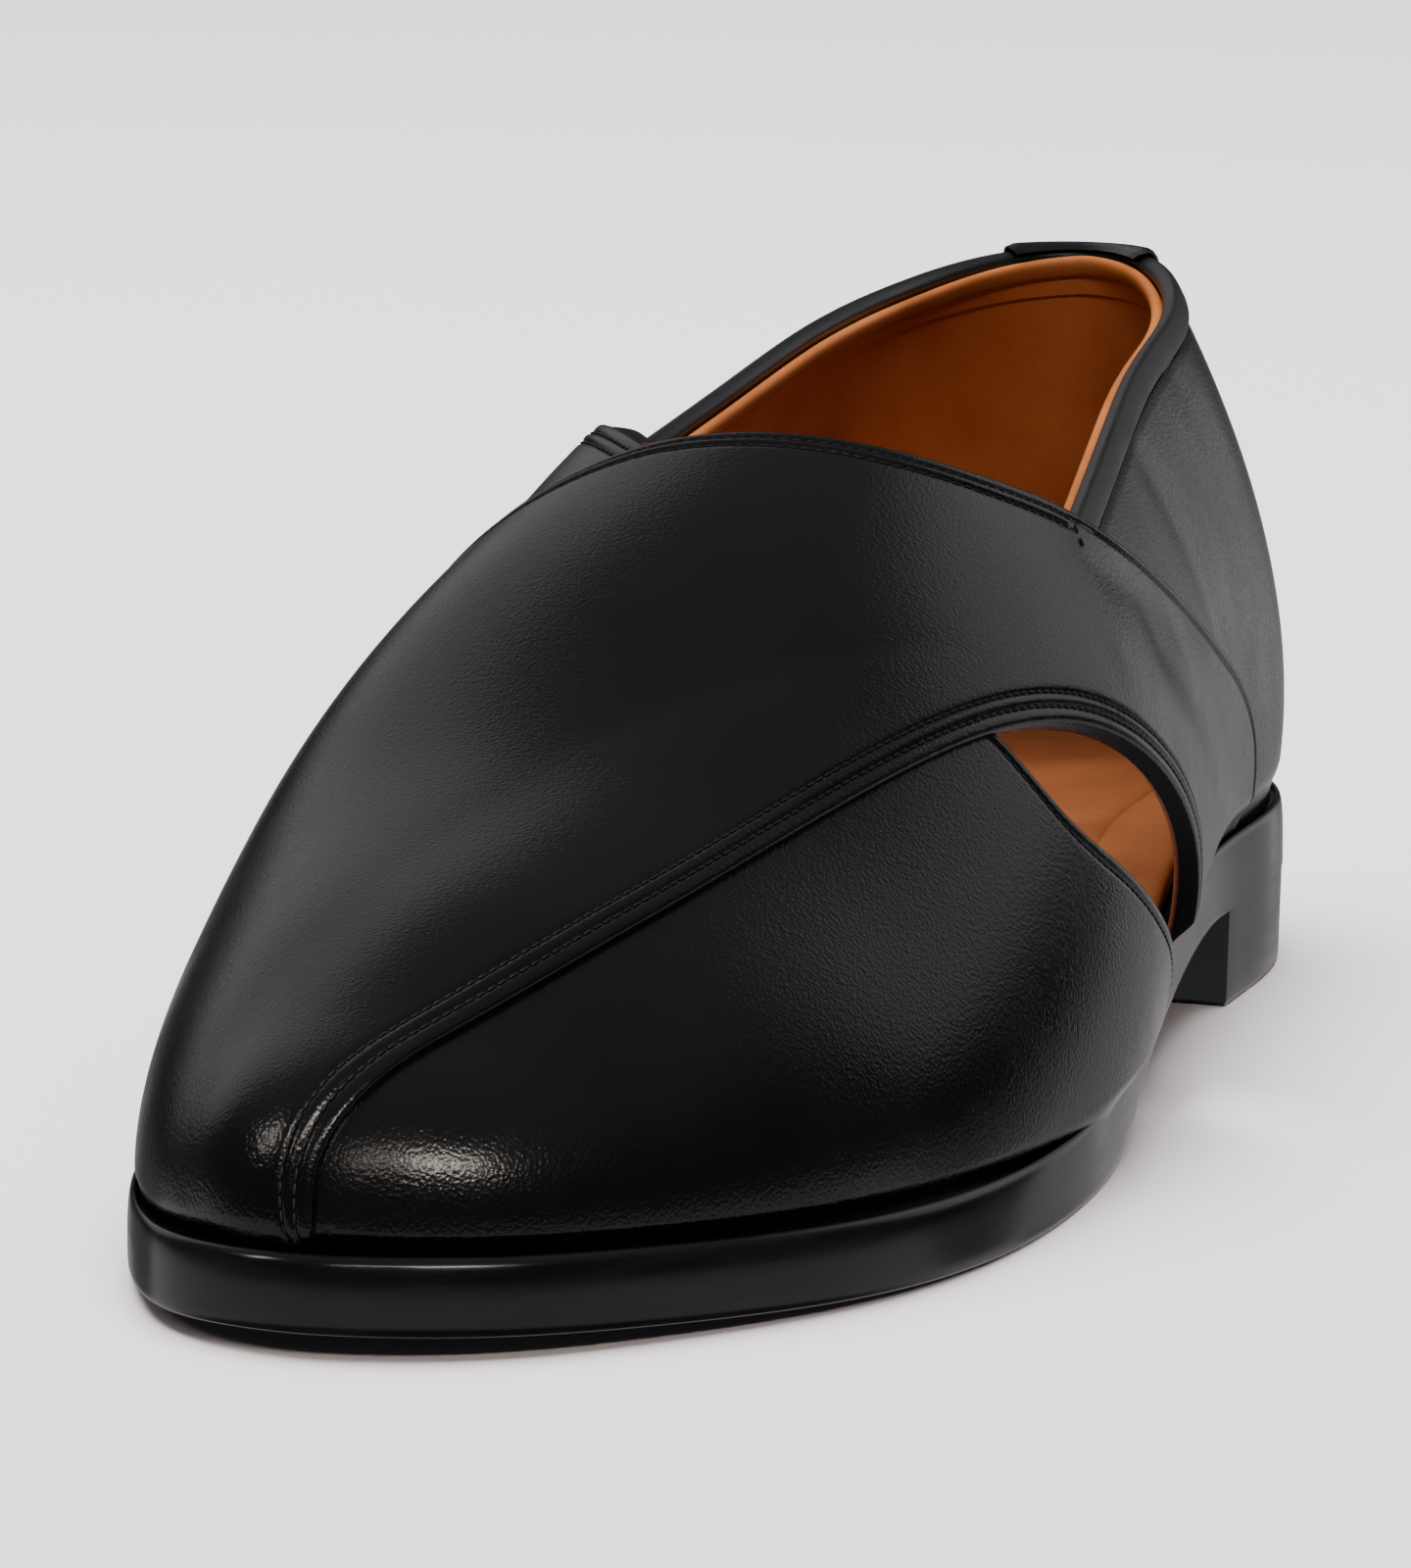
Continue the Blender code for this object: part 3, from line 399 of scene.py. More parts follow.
def flatten(net):
    """Lay points of the last's net out flat, close to their true sizes."""
    net = np.asarray(net, float)
    return np.stack([net[..., 0] * LAST_RUN, (net[..., 1] - 0.5) * girth_at(net[..., 0])], -1)


def unflatten(flat):
    s = np.clip(flat[..., 0] / LAST_RUN, 0, 1)
    return np.stack([s, np.clip(flat[..., 1] / girth_at(s) + 0.5, 0, 1)], -1)


def above_feather(net):
    """How far points of the net lie above the feather line, round the girth."""
    return np.minimum(net[..., 1], 1 - net[..., 1]) * girth_at(net[..., 0])


def flatten_heel(net):
    """Lay the quarter out flat round the heel: outer side to the left, feather line at the bottom."""
    across = np.where(net[..., 1] <= 0.5, -net[..., 0], net[..., 0]) * LAST_RUN
    return np.stack([across, above_feather(net)], -1)


def unflatten_heel(flat):
    s = np.clip(np.abs(flat[..., 0]) / LAST_RUN, 0, 1)
    up = np.clip(flat[..., 1] / girth_at(s), 0, 0.5)
    return np.stack([s, np.where(flat[..., 0] <= 0, up, 1 - up)], -1)


def reach_along(points):
    """Distance of each point of a run from its first one, along the run."""
    return np.concatenate(([0], np.cumsum(np.linalg.norm(np.diff(points, axis=0), axis=1))))


def interpolated(where, reached, values):
    """Values of a run at the given places, from those at its points."""
    return np.stack([np.interp(where, reached, column) for column in values.T], -1)


def edge_run(rows, step=1.0):
    """Close points along a panel edge, from a smooth curve through its table, on the net."""
    rows = np.array(rows, float)
    reached = reach_along(flatten(rows))
    distance = np.linspace(0, reached[-1], max(2, round(reached[-1] / step)) + 1)
    along, around = (spline(reached, column)(distance) for column in rows.T)
    return np.stack([along, np.clip(around, 0, 1)], 1)


def straight_run(start, end, count=120):
    return np.linspace(start, end, count)


def lengthened(run, reach):
    """The flat run with its first end carried on in a straight line."""
    return np.concatenate([[run[0] + unit(run[0] - run[END_SPAN]) * reach], run])


def resampled(run, shares):
    """Points at the given shares of a flat run's length."""
    reached = reach_along(run)
    if reached[-1] == 0:
        return np.repeat(run[:1], len(shares), axis=0)
    return interpolated(np.asarray(shares) * reached[-1], reached, run)


def distance_to(run, points):
    """Shortest distance from each point to a flat run of points."""
    nearest = np.full(points.shape[:-1], np.inf)
    for a, b in zip(run[:-1], run[1:]):
        span = b - a
        t = np.clip((points - a) @ span / max(span @ span, LEAST_SPAN), 0, 1)
        nearest = np.minimum(nearest, np.linalg.norm(points - a - t[..., None] * span, axis=-1))
    return nearest


def panel_net(front, back, left, right, count, front_steps, back_steps, inner_rows, samples=160):
    """Flat net of a four-sided panel: columns run from its front edge to its back edge.

    Rows lie at the given distances from the two edges and evenly between them."""
    shares, t = np.linspace(0, 1, count), np.linspace(0, 1, samples)
    front_points, back_points = resampled(front, shares), resampled(back, shares)
    left_points, right_points = resampled(left, t), resampled(right, t)
    u = shares[None, :, None]
    w = t[:, None, None]
    net = (1 - w) * front_points + w * back_points
    net = net + (1 - u) * left_points[:, None] + u * right_points[:, None]
    net = net - (1 - w) * ((1 - u) * front_points[0] + u * front_points[-1])
    net = net - w * ((1 - u) * back_points[0] + u * back_points[-1])
    from_front = np.maximum.accumulate(distance_to(front, net), axis=0)
    from_back = np.maximum.accumulate(distance_to(back, net)[::-1], axis=0)
    rows = []
    for j in range(count):
        near = np.interp(front_steps, from_front[:, j], t)
        far = 1 - np.interp(back_steps, from_back[:, j], t)
        middle = np.linspace(near[-1], far[-1], inner_rows + 2)[1:-1]
        rows.append(interpolated(np.concatenate([near, middle, far[::-1]]), t, net[:, j]))
    return np.stack(rows, 1)


def fold_profile(distance):
    """How far the rounding of a folded edge lies below the panel's face."""
    inside = np.clip(FOLD_RADIUS - distance, 0, FOLD_RADIUS)
    return np.sqrt(FOLD_RADIUS ** 2 - inside ** 2) - FOLD_RADIUS


def sewn_profile(distance, rows):
    """Grooves that rows of stitches draw in beside an edge, with the leather puffed up between two."""
    profile = np.zeros(distance.shape)
    for row in rows:
        profile -= GROOVE_DEPTH * np.exp(-((distance - row) / GROOVE_WIDTH) ** 2)
    if len(rows) > 1:
        middle, spread = (rows[0] + rows[1]) / 2, (rows[1] - rows[0]) / 3
        profile += PADDING * np.exp(-((distance - middle) / spread) ** 2)
    return profile


def edge_profile(distance, rows):
    """How far a folded, stitched edge lies below or above the panel's face."""
    return fold_profile(distance) + sewn_profile(distance, rows)


def waved(flat, waves, lay):
    """Depth of the soft waves at points of a flat net."""
    depth = np.zeros(flat.shape[:-1])
    for start, end, reach, deep in waves:
        line = lay(straight_run(start, end, WAVE_POINTS))
        depth -= deep * np.exp(-(distance_to(line, flat) / reach) ** 2)
    return depth


def blend(pair, share):
    return pair[0] + (pair[1] - pair[0]) * share


def drawn_in(net, height):
    """How far the leather is drawn in towards the feather line."""
    forward = smooth_step(*WAIST, net[..., 0])
    deep = (height - LASTED_LEFT) * (1 - forward) + LASTED_IN * forward
    return deep * (1 - smooth_step(0, 1, above_feather(net) / blend(LASTED_REACH, forward)))


def on_last(net, height):
    """Points above the last, tucked down behind the sole's rim at the feather line."""
    s, v = net[..., 0], net[..., 1]
    points = last_point(s, v) + np.asarray(height)[..., None] * last_normal(s, v)
    margin = np.where(v < 0.5, WELT_AT["outer"](s), WELT_AT["inner"](s))
    tuck = TUCK * smooth_step(*TUCK_ROOM, margin)
    points[..., 2] -= tuck * (1 - smooth_step(0, TUCK_SHARE, np.minimum(v, 1 - v)))
    return points


def deselect():
    bpy.ops.object.select_all(action="DESELECT")


def sheet(name, points):
    """A grid primitive with its corners moved to rows of points, sewn where they meet and closed."""
    rows, count = points.shape[:2]
    deselect()
    bpy.ops.mesh.primitive_grid_add(x_subdivisions=count - 1, y_subdivisions=rows - 1, size=1)
    made = bpy.context.object
    made.name = made.data.name = name
    made.data.vertices.foreach_set("co", (points * MM).astype(np.float32).ravel())
    made.data.update()
    bpy.ops.object.mode_set(mode="EDIT")
    bpy.ops.mesh.select_all(action="SELECT")
    bpy.ops.mesh.remove_doubles(threshold=SEWN)
    bpy.ops.mesh.fill_holes(sides=0)
    bpy.ops.mesh.select_all(action="SELECT")
    bpy.ops.mesh.normals_make_consistent(inside=False)
    bpy.ops.object.mode_set(mode="OBJECT")
    return made


def shell(name, outer, inner):
    """A closed skin: rows of outer points, then rows of inner points back to the start."""
    return sheet(name, np.concatenate([outer, inner[::-1], outer[:1]]))


def dress(piece, finish, slot, *nodes, crisp=40):
    """Finish a piece: smooth shading, its material, its body, and the nodes it stands for."""
    deselect()
    bpy.context.view_layer.objects.active = piece
    piece.select_set(True)
    bpy.ops.object.shade_smooth_by_angle(angle=math.radians(crisp))
    piece.data.materials.clear()
    piece.data.materials.append(finish)
    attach(piece, "root")
    if nodes:
        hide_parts(*nodes)


# Camera at the photograph's angle, framing the one shoe
CAMERA_PLACE = Vector((0.3892, -1.2676, 0.2629))
FIRST_AIM = Vector((-0.0009, -0.0013, 0.040))
AIM_ROUNDS = 4
SENSOR = 36.0
FRAME_SHARE = 0.82
FAR_CLIP = 50


def placed(name, data):
    """A new object in the scene."""
    made = bpy.data.objects.new(name, data)
    bpy.context.collection.objects.link(made)
    return made


def facing(place, aim):
    """Rotation of a camera or light that looks from its place to its aim."""
    return (Vector(place) - Vector(aim)).to_track_quat("Z", "Y")


def place_camera():
    """Aim so that the outline of the solids is in the middle of the picture and fills its share."""
    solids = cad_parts.values()
    corners = np.array([corner.co.copy() for node in solids for corner in node.data.vertices])
    aim = FIRST_AIM
    for _ in range(AIM_ROUNDS):
        turn = facing(CAMERA_PLACE, aim)
        seen = (corners - np.array(CAMERA_PLACE)) @ np.array(turn.to_matrix())
        flat = seen[:, :2] / -seen[:, 2:]
        low, high = flat.min(axis=0), flat.max(axis=0)
        middle = Vector((*((low + high) / 2), -1.0))
        reach = (aim - CAMERA_PLACE).length
        aim = CAMERA_PLACE + turn @ middle * reach
    data = bpy.data.cameras.new("photo_camera")
    data.sensor_fit = "HORIZONTAL"
    data.sensor_width = SENSOR
    data.lens = SENSOR * FRAME_SHARE / (high[0] - low[0])
    data.clip_end = FAR_CLIP
    made = placed("photo_camera", data)
    made.location = CAMERA_PLACE
    made.rotation_euler = facing(CAMERA_PLACE, aim).to_euler()
    bpy.context.scene.camera = made


place_camera()


def linear(hex_color):
    """An sRGB hex colour as linear values with full alpha."""
    channels = [int(hex_color[i:i + 2], 16) / 255 for i in (1, 3, 5)]
    turned = [c / 12.92 if c <= 0.04045 else ((c + 0.055) / 1.055) ** 2.4 for c in channels]
    return (*turned, 1.0)


def feed(tree, node, inputs):
    """Fill a node's inputs: each gets a value, another node's output, or its first one for a node."""
    for name, value in inputs.items():
        if isinstance(value, bpy.types.Node):
            value = value.outputs[0]
        if isinstance(value, bpy.types.NodeSocket):
            tree.links.new(value, node.inputs[name])
        else:
            node.inputs[name].default_value = value


def add(tree, kind, inputs=None, stops=(), **settings):
    """Add a node with its settings, its inputs and, on a ramp, the places and colours of its stops."""
    made = tree.nodes.new("ShaderNode" + kind)
    for name, value in settings.items():
        setattr(made, name, value)
    feed(tree, made, inputs or {})
    for number, (place, color) in enumerate(stops):
        made.color_ramp.elements[number].position = place
        made.color_ramp.elements[number].color = linear(color)
    return made


def per_metre(size):
    """Scale of a pattern whose marks are this many millimetres apart."""
    return 1 / (size * MM)


def new_material(name):
    """A material with its shader and its object coordinates."""
    made = bpy.data.materials.new(name)
    made.use_nodes = True
    tree = made.node_tree
    shader = tree.nodes["Principled BSDF"]
    place = add(tree, "TexCoord").outputs["Object"]
    return made, tree, shader, place


LEATHER_IOR = 1.45
PEBBLE = 0.45  # size of the calf's grain, millimetres


def polished_calf(name, dark, light, grain_strength, roughness, coat):
    """Black box calf, plated and polished.

    The eye gets a near-black body, a clear gloss and, inside the highlights, a fine pebble grain
    that breaks them up; the polish is a little uneven."""
    made, tree, shader, place = new_material(name)
    pebble = add(tree, "TexVoronoi", {"Vector": place, "Scale": per_metre(PEBBLE), "Smoothness": 0.6},
                 feature="SMOOTH_F1")
    pores = add(tree, "TexNoise", {"Vector": place, "Scale": per_metre(PEBBLE), "Detail": 2.0})
    grain = add(tree, "Math", {0: pebble, 1: pores}, operation="ADD")
    bump = add(tree, "Bump", {"Height": grain, "Strength": grain_strength, "Distance": 0.055 * MM})
    polish = add(tree, "TexNoise", {"Vector": place, "Scale": per_metre(14), "Detail": 4.0})
    gloss = add(tree, "MapRange", {"Value": polish, "From Min": 0.3, "From Max": 0.7,
                                   "To Min": roughness - 0.04, "To Max": roughness + 0.06})
    tones = add(tree, "ValToRGB", {"Fac": polish}, ((0, dark), (1, light)))
    feed(tree, shader, {"Base Color": tones, "Roughness": gloss, "Normal": bump, "Coat Weight": coat,
                        "Coat Roughness": 0.16, "IOR": LEATHER_IOR})
    return made


def tan_hide(name, dark, light, grain):
    """Vegetable-tanned lining hide, left undyed.

    The eye gets a warm matt tan, cloudy in tone, with fine fibres and creases."""
    made, tree, shader, place = new_material(name)
    clouds = add(tree, "TexNoise", {"Vector": place, "Scale": per_metre(22), "Detail": 6.0})
    fibre = add(tree, "TexNoise", {"Vector": place, "Scale": per_metre(grain), "Detail": 5.0,
                                   "Roughness": 0.65})
    mixed = add(tree, "Math", {0: fibre, 1: 0.18, 2: clouds}, operation="MULTIPLY_ADD")
    tones = add(tree, "ValToRGB", {"Fac": mixed}, ((0.38, dark), (0.82, light)))
    bump = add(tree, "Bump", {"Height": fibre, "Strength": 0.25, "Distance": 0.15 * MM})
    feed(tree, shader, {"Base Color": tones, "Normal": bump, "Roughness": 0.58, "IOR": LEATHER_IOR})
    return made


def dark_edge(name, dark, light, roughness):
    """Black sole leather or heel rubber, sanded, inked and waxed.

    The eye gets a hard dark surface with faint streaks from the sanding and a waxy shine."""
    made, tree, shader, place = new_material(name)
    turned = add(tree, "Mapping", {"Vector": place, "Scale": (0.12, 0.12, 1.0)})
    streaks = add(tree, "TexNoise", {"Vector": turned, "Scale": per_metre(1.6), "Detail": 5.0})
    tones = add(tree, "ValToRGB", {"Fac": streaks}, ((0.3, dark), (0.7, light)))
    gloss = add(tree, "MapRange", {"Value": streaks, "From Min": 0.3, "From Max": 0.7,
                                   "To Min": roughness - 0.02, "To Max": roughness + 0.04})
    bump = add(tree, "Bump", {"Height": streaks, "Strength": 0.12, "Distance": 0.05 * MM})
    feed(tree, shader, {"Base Color": tones, "Roughness": gloss, "Normal": bump})
    return made


def raw_edge(name, dark, light):
    """Cut edge of welt leather, inked black and left raw: the eye gets a dull, fibrous black, with its
    shine all but taken away so that it also stands in as painted shade in the groove.
    """
    made, tree, shader, place = new_material(name)
    fibre = add(tree, "TexNoise", {"Vector": place, "Scale": per_metre(0.6), "Detail": 4.0})
    tones = add(tree, "ValToRGB", {"Fac": fibre}, ((0, dark), (1, light)))
    bump = add(tree, "Bump", {"Height": fibre, "Strength": 0.4, "Distance": 0.1 * MM})
    feed(tree, shader, {"Base Color": tones, "Normal": bump, "Roughness": 0.9, "Specular IOR Level": 0.1})
    return made


def waxed_thread(name, dark, light):
    """Black waxed linen thread: the eye gets small dull beads with a slight twist."""
    made, tree, shader, place = new_material(name)
    twist = add(tree, "TexNoise", {"Vector": place, "Scale": per_metre(0.35), "Detail": 2.0})
    tones = add(tree, "ValToRGB", {"Fac": twist}, ((0, dark), (1, light)))
    feed(tree, shader, {"Base Color": tones, "Roughness": 0.5})
    return made


BLACK_CALF = polished_calf("polished_black_calf", "#050506", "#08080a", 0.7, 0.19, 0.10)
BINDING_KID = polished_calf("satin_binding_kid", "#0f1011", "#17191a", 0.5, 0.38, 0.0)
LINING_HIDE = tan_hide("tan_lining_hide", "#984e22", "#b56b3b", 0.8)
# The same lining hide as above, made darker: the darkening is painted shade for the linings seen deep
# inside the cut-outs
SHADED_COPY_LINING_HIDE = tan_hide("painted_shade_tan_lining_hide", "#7d4524", "#98613a", 0.8)
ROLL_HIDE = tan_hide("light_tan_roll_hide", "#7e421b", "#a05e2e", 0.8)
INSOLE_HIDE = tan_hide("tan_insole_hide", "#6d3b20", "#8f5933", 1.2)
SOLE_EDGE_WAX = dark_edge("waxed_sole_edge", "#060607", "#0f0f11", 0.18)
HEEL_RUBBER = dark_edge("black_heel_rubber", "#070708", "#101012", 0.22)
# Welt edge with its shine taken away: its darkness is partly the raw edge and partly painted shade for the
# groove between upper and sole
DULL_WELT_PAINTED_GROOVE_SHADE = raw_edge("raw_welt_edge_painted_groove_shade", "#040404", "#0b0b0c")
THREAD = waxed_thread("black_waxed_thread", "#060607", "#18181a")


def thinned(rows, step=6):
    """Every few rows of a net, first and last included."""
    kept = list(range(0, len(rows) - 1, step)) + [len(rows) - 1]
    return rows[kept]


def leather(name, flat, height, unflat=unflatten):
    """A leather panel from its flat net and the height of its face above the last."""
    net = unflat(flat)
    outer = on_last(net, height - drawn_in(net, height))
    inner = on_last(unflat(thinned(flat)), LINING + PLY_GAP)
    dress(shell(name, outer, inner), BLACK_CALF, "black_leather", "upper")


def lined(name, flat, unflat=unflatten, hide=SHADED_COPY_LINING_HIDE):
    """The lining under a panel, by default in the lining hide darkened with painted shade."""
    net = unflat(thinned(flat, step=3))
    dress(shell(name, on_last(net, LINING), on_last(net, PLY_GAP)), hide, "tan_leather", "upper")


def fitted(run, start, end):
    """The run shifted so that it goes from start to end."""
    t = np.linspace(0, 1, len(run))[:, None]
    return run + (1 - t) * (start - run[0]) + t * (end - run[-1])


def joined(*runs):
    """One run of points from several that follow each other."""
    return np.concatenate([runs[0]] + [run[1:] for run in runs[1:]])


def vamp_height(flat):
    """Height of the inner vamp panel's face, which settles from the lap onto the lining."""
    net = unflatten(flat)
    along_edge = 1 - smooth_step(*LAP_FADE, distance_to(flatten(CROSS), flat))
    over_instep = (1 - smooth_step(*INSTEP_FADE, net[..., 0])) * (1 - smooth_step(*FOOT_FADE, net[..., 1]))
    return WALL + LAP * np.maximum(along_edge, over_instep)


def strap_height(flat):
    """Height of the inner strap's face, which climbs the quarter and stands off at its upper corner."""
    off = np.linalg.norm(flat - flatten(FLARE_PLACE), axis=-1)
    climb = LAP * (1 - smooth_step(*STRAP_RISE, unflatten(flat)[..., 0]))
    return WALL + climb + FLARE * np.exp(-(off / FLARE_REACH) ** 2)


CROSS = edge_run(CROSS_EDGE)
CROSS_STRAP = edge_run(CROSS_AND_STRAP_FRONT)
VAMP_BACK = edge_run(INNER_VAMP_BACK)
THROAT_STRAP = edge_run(THROAT_AND_STRAP_BACK)
OUTER_BACK = edge_run(OUTER_VAMP_BACK)
STRAP_FRONT = edge_run(INNER_STRAP_FRONT)
STRAP_BACK = edge_run(INNER_STRAP_BACK)


def make_inner_vamp():
    """The long panel: inner side of the vamp, over the instep and down the outer side as a strap."""
    front = flatten(CROSS_STRAP)
    back = joined(flatten(VAMP_BACK), flatten(THROAT_STRAP))
    left = fitted(flatten(straight_run((1, 1), VAMP_BACK[0])), front[0], back[0])
    right = fitted(flatten(straight_run(CROSS_STRAP[-1], THROAT_STRAP[-1])), front[-1], back[-1])
    flat = panel_net(front, back, left, right, VAMP_COLUMNS, EDGE_STEPS, EDGE_STEPS, VAMP_ROWS)
    height = vamp_height(flat) + edge_profile(distance_to(front, flat), STITCH_ROWS)
    from_back = distance_to(back, flat)
    sewn = smooth_step(*TACK_AROUND, unflatten(flat)[..., 1])
    height = height + fold_profile(from_back) + sewn * sewn_profile(from_back, STITCH_ROWS)
    height = height + (1 - sewn) * STRAP_GROOVE_SHARE * sewn_profile(from_back, STRAP_GROOVE)
    leather("inner_vamp", flat, height + waved(flat, STRAP_WAVES, flatten))
    lined("inner_vamp_lining", flat[TURNED_IN:-TURNED_IN])


def make_outer_vamp():
    """The panel on the outer side of the toe, which runs in under the long one."""
    front = lengthened(flatten(OUTER_BACK), UNDERLAP)
    pole = flatten(CROSS[:1])
    cross = flatten(CROSS)[::-1]
    under = cross + np.array([0, UNDERLAP]) * np.linspace(1, 0, len(cross))[:, None]
    left = fitted(under, front[0], pole[0])
    right = fitted(flatten(straight_run(OUTER_BACK[-1], (1, 0))), front[-1], pole[0])
    back = np.repeat(pole, 2, axis=0)
    flat = panel_net(front, back, left, right, OUTER_COLUMNS, EDGE_STEPS, TOE_STEPS, OUTER_ROWS)
    leather("outer_vamp", flat, WALL + edge_profile(distance_to(front, flat), SINGLE_ROW))
    lined("outer_vamp_lining", flat)


def make_inner_strap():
    """The strap on the inner side, from under the instep back to the waist."""
    front = lengthened(flatten(STRAP_FRONT), UNDERLAP)
    back = lengthened(flatten(STRAP_BACK), UNDERLAP)
    left = straight_run(front[0], back[0])
    right = fitted(flatten(straight_run(STRAP_FRONT[-1], STRAP_BACK[-1])), front[-1], back[-1])
    flat = panel_net(front, back, left, right, STRAP_COLUMNS, EDGE_STEPS, EDGE_STEPS, STRAP_ROWS)
    height = strap_height(flat) + edge_profile(distance_to(front, flat), SINGLE_ROW)
    leather("inner_strap", flat, height + edge_profile(distance_to(back, flat), STITCH_ROWS))
    lined("inner_strap_lining", flat[TURNED_IN:-TURNED_OVER])


TOPLINE = joined(edge_run(OUTER_TOPLINE), edge_run(INNER_TOPLINE)[::-1])


def long_topline(reach):
    """The flat top of the quarter, carried on under both straps."""
    return lengthened(lengthened(flatten_heel(TOPLINE), reach)[::-1], reach)[::-1]


def make_quarter():
    """The closed heel part, from strap to strap round the back."""
    top = long_topline(UNDERLAP)
    outer_edge = flatten_heel(edge_run(OUTER_STRAP_BACK)) - np.array([UNDERLAP, 0])
    inner_edge = flatten_heel(edge_run(INNER_STRAP_END)) + np.array([UNDERLAP, 0])
    foot = straight_run(outer_edge[-1], inner_edge[-1])
    left = fitted(outer_edge, top[0], foot[0])
    right = fitted(inner_edge, top[-1], foot[-1])
    flat = panel_net(top, foot, left, right, QUARTER_COLUMNS, SEAM_STEPS, FOOT_STEPS, QUARTER_ROWS)
    height = WALL + sewn_profile(distance_to(top, flat), COLLAR_SEAM)
    leather("quarter", flat, height + waved(flat, QUARTER_WAVES, flatten_heel), unflatten_heel)
    lined("quarter_lining", flat, unflatten_heel, LINING_HIDE)


def edge_frames(run):
    """Points of a run on the last with their outward and upward directions."""
    points = last_point(*run.T)
    normals = last_normal(*run.T)
    ups = unit(np.cross(np.gradient(points, axis=0), normals))
    ups *= np.where(ups[:, 2:] < 0, -1, 1)
    return points, normals, ups


def collar_path(reach):
    """The top of the quarter, carried on under both straps, as points of the net."""
    return unflatten_heel(resampled(long_topline(reach), np.linspace(0, 1, COLLAR_STATIONS)))


def bead(name, section, finish, slot, *nodes):
    """A rolled edge along the collar: a rounded square section swept along it."""
    middle, half, squareness, points = section
    path, normals, ups = edge_frames(collar_path(BINDING_REACH))
    angle = np.linspace(0, 2 * math.pi, points + 1)
    power = 2 / squareness
    out = middle[0] + half[0] * np.sign(np.cos(angle)) * np.abs(np.cos(angle)) ** power
    up = middle[1] + half[1] * np.sign(np.sin(angle)) * np.abs(np.sin(angle)) ** power
    rows = path[None] + out[:, None, None] * normals[None] + up[:, None, None] * ups[None]
    dress(sheet(name, rows), finish, slot, *nodes)


def make_collar():
    """Binding, the rolled lining edge inside it and the facing below that."""
    bead("topline_binding", BINDING, BINDING_KID, "black_binding", "topline_binding")
    bead("lining_roll", LINING_ROLL, ROLL_HIDE, "tan_leather")
    flat = flatten_heel(collar_path(0))
    drops = np.linspace(*FACING_SPAN, FACING_ROWS)
    net = unflatten_heel(np.stack([flat - np.array([0, drop]) for drop in drops]))
    piece = shell("collar_facing", on_last(net, -FACING), on_last(net, 0.0))
    dress(piece, LINING_HIDE, "tan_leather", "upper")


def sideways(run_direction):
    """Level unit vectors square to the directions of a run."""
    return unit(np.stack([-run_direction[:, 1], run_direction[:, 0]], 1))


def welt_loop(count, margin_outer, margin_inner):
    """Plan outline of the sole and its outward directions, closed, heel to toe and back."""
    shares = (1 - np.cos(np.linspace(0, math.pi, count + 1))) * 0.25 + np.linspace(0, 0.5, count + 1)
    loop = np.concatenate([last_point(shares, 0.0), last_point(shares[-2:0:-1], 1.0)])[:, :2]
    margin = np.concatenate([margin_outer(shares), margin_inner(shares[-2:0:-1])])
    outward = sideways(np.roll(loop, -1, axis=0) - np.roll(loop, 1, axis=0))
    plan = loop + outward * margin[:, None]
    return [np.concatenate([rows, rows[:1]]) for rows in (plan, outward, margin)]


def spine_of(plan, inset=30.0):
    """For each point of an outline, the point of its middle line that it is drawn in towards."""
    middle = (plan + plan[::-1]) / 2
    one_way = middle[np.argsort(middle[:, 1])]
    at = np.clip(middle[:, 1], one_way[0, 1] + inset, one_way[-1, 1] - inset)
    return np.stack([np.interp(at, one_way[:, 1], one_way[:, 0]), at], 1)


def layered(name, plan, outward, rows, ground):
    """A flat piece from its outline: rows of inset and height; the first and last close on the spine."""
    spine = spine_of(plan)
    made = []
    for inset, height, drawn in rows:
        ring = plan - outward * np.reshape(inset, (-1, 1))
        ring = ring + drawn * (spine - ring)
        made.append(np.column_stack([ring, ground(MIDDLE_ALONG - ring[:, 1]) + height]))
    return sheet(name, np.stack(made))


def make_outsole():
    """The sole with its rounded lip, the groove behind that and a flush edge at the heel."""
    plan, outward, welt = welt_loop(SOLE_STATIONS, WELT_AT["outer"], WELT_AT["inner"])
    rounding = np.clip(welt / welt.max(), LEAST_ROUNDING, 1)
    along = MIDDLE_ALONG - plan[:, 1]
    lower = rounding * smooth_step(HEEL_BREAST, HEEL_BREAST + FLUSH_REACH, along)
    foot, top = SOLE_PROFILE[0], SOLE_PROFILE[-1]
    rows = [(lower * foot[0], foot[1], drawn) for drawn in SOLE_UNDER_SHARES]
    for inset, height in SOLE_PROFILE:
        rows.append(((lower if height < SOLE_THICKNESS / 2 else rounding) * inset, height, 0.0))
    rows += [(rounding * top[0], top[1], drawn) for drawn in SOLE_TOP_SHARES]
    piece = layered("outsole", plan, outward, rows, tread_height)
    dress(piece, SOLE_EDGE_WAX, "black_sole_edge", "outsole")


def inseam_margin(side):
    """How far the inseam stands out from the feather line on one side."""
    def margin(shares):
        wanted = blend(INSEAM_REACH, smooth_step(*WAIST, shares))
        return np.minimum(wanted, WELT_AT[side](shares) - INSEAM_COVER)
    return margin


def make_inseam():
    """The raw black edge of the welt, dull and shineless, seen as a dark line of painted shade between the
    upper and the sole.
    """
    plan, outward, _ = welt_loop(SOLE_STATIONS, inseam_margin("outer"), inseam_margin("inner"))
    rows = [(inset, height, 0.0) for inset, height in INSEAM_PROFILE]
    dress(layered("inseam", plan, outward, rows, tread_height), DULL_WELT_PAINTED_GROOVE_SHADE, "black_sole_edge")


def insole_margin(shares):
    return np.full(len(shares), -INSOLE_CLEARANCE)


def insole_bed(along):
    return tread_height(along) + SOLE_THICKNESS + FIT_GAP


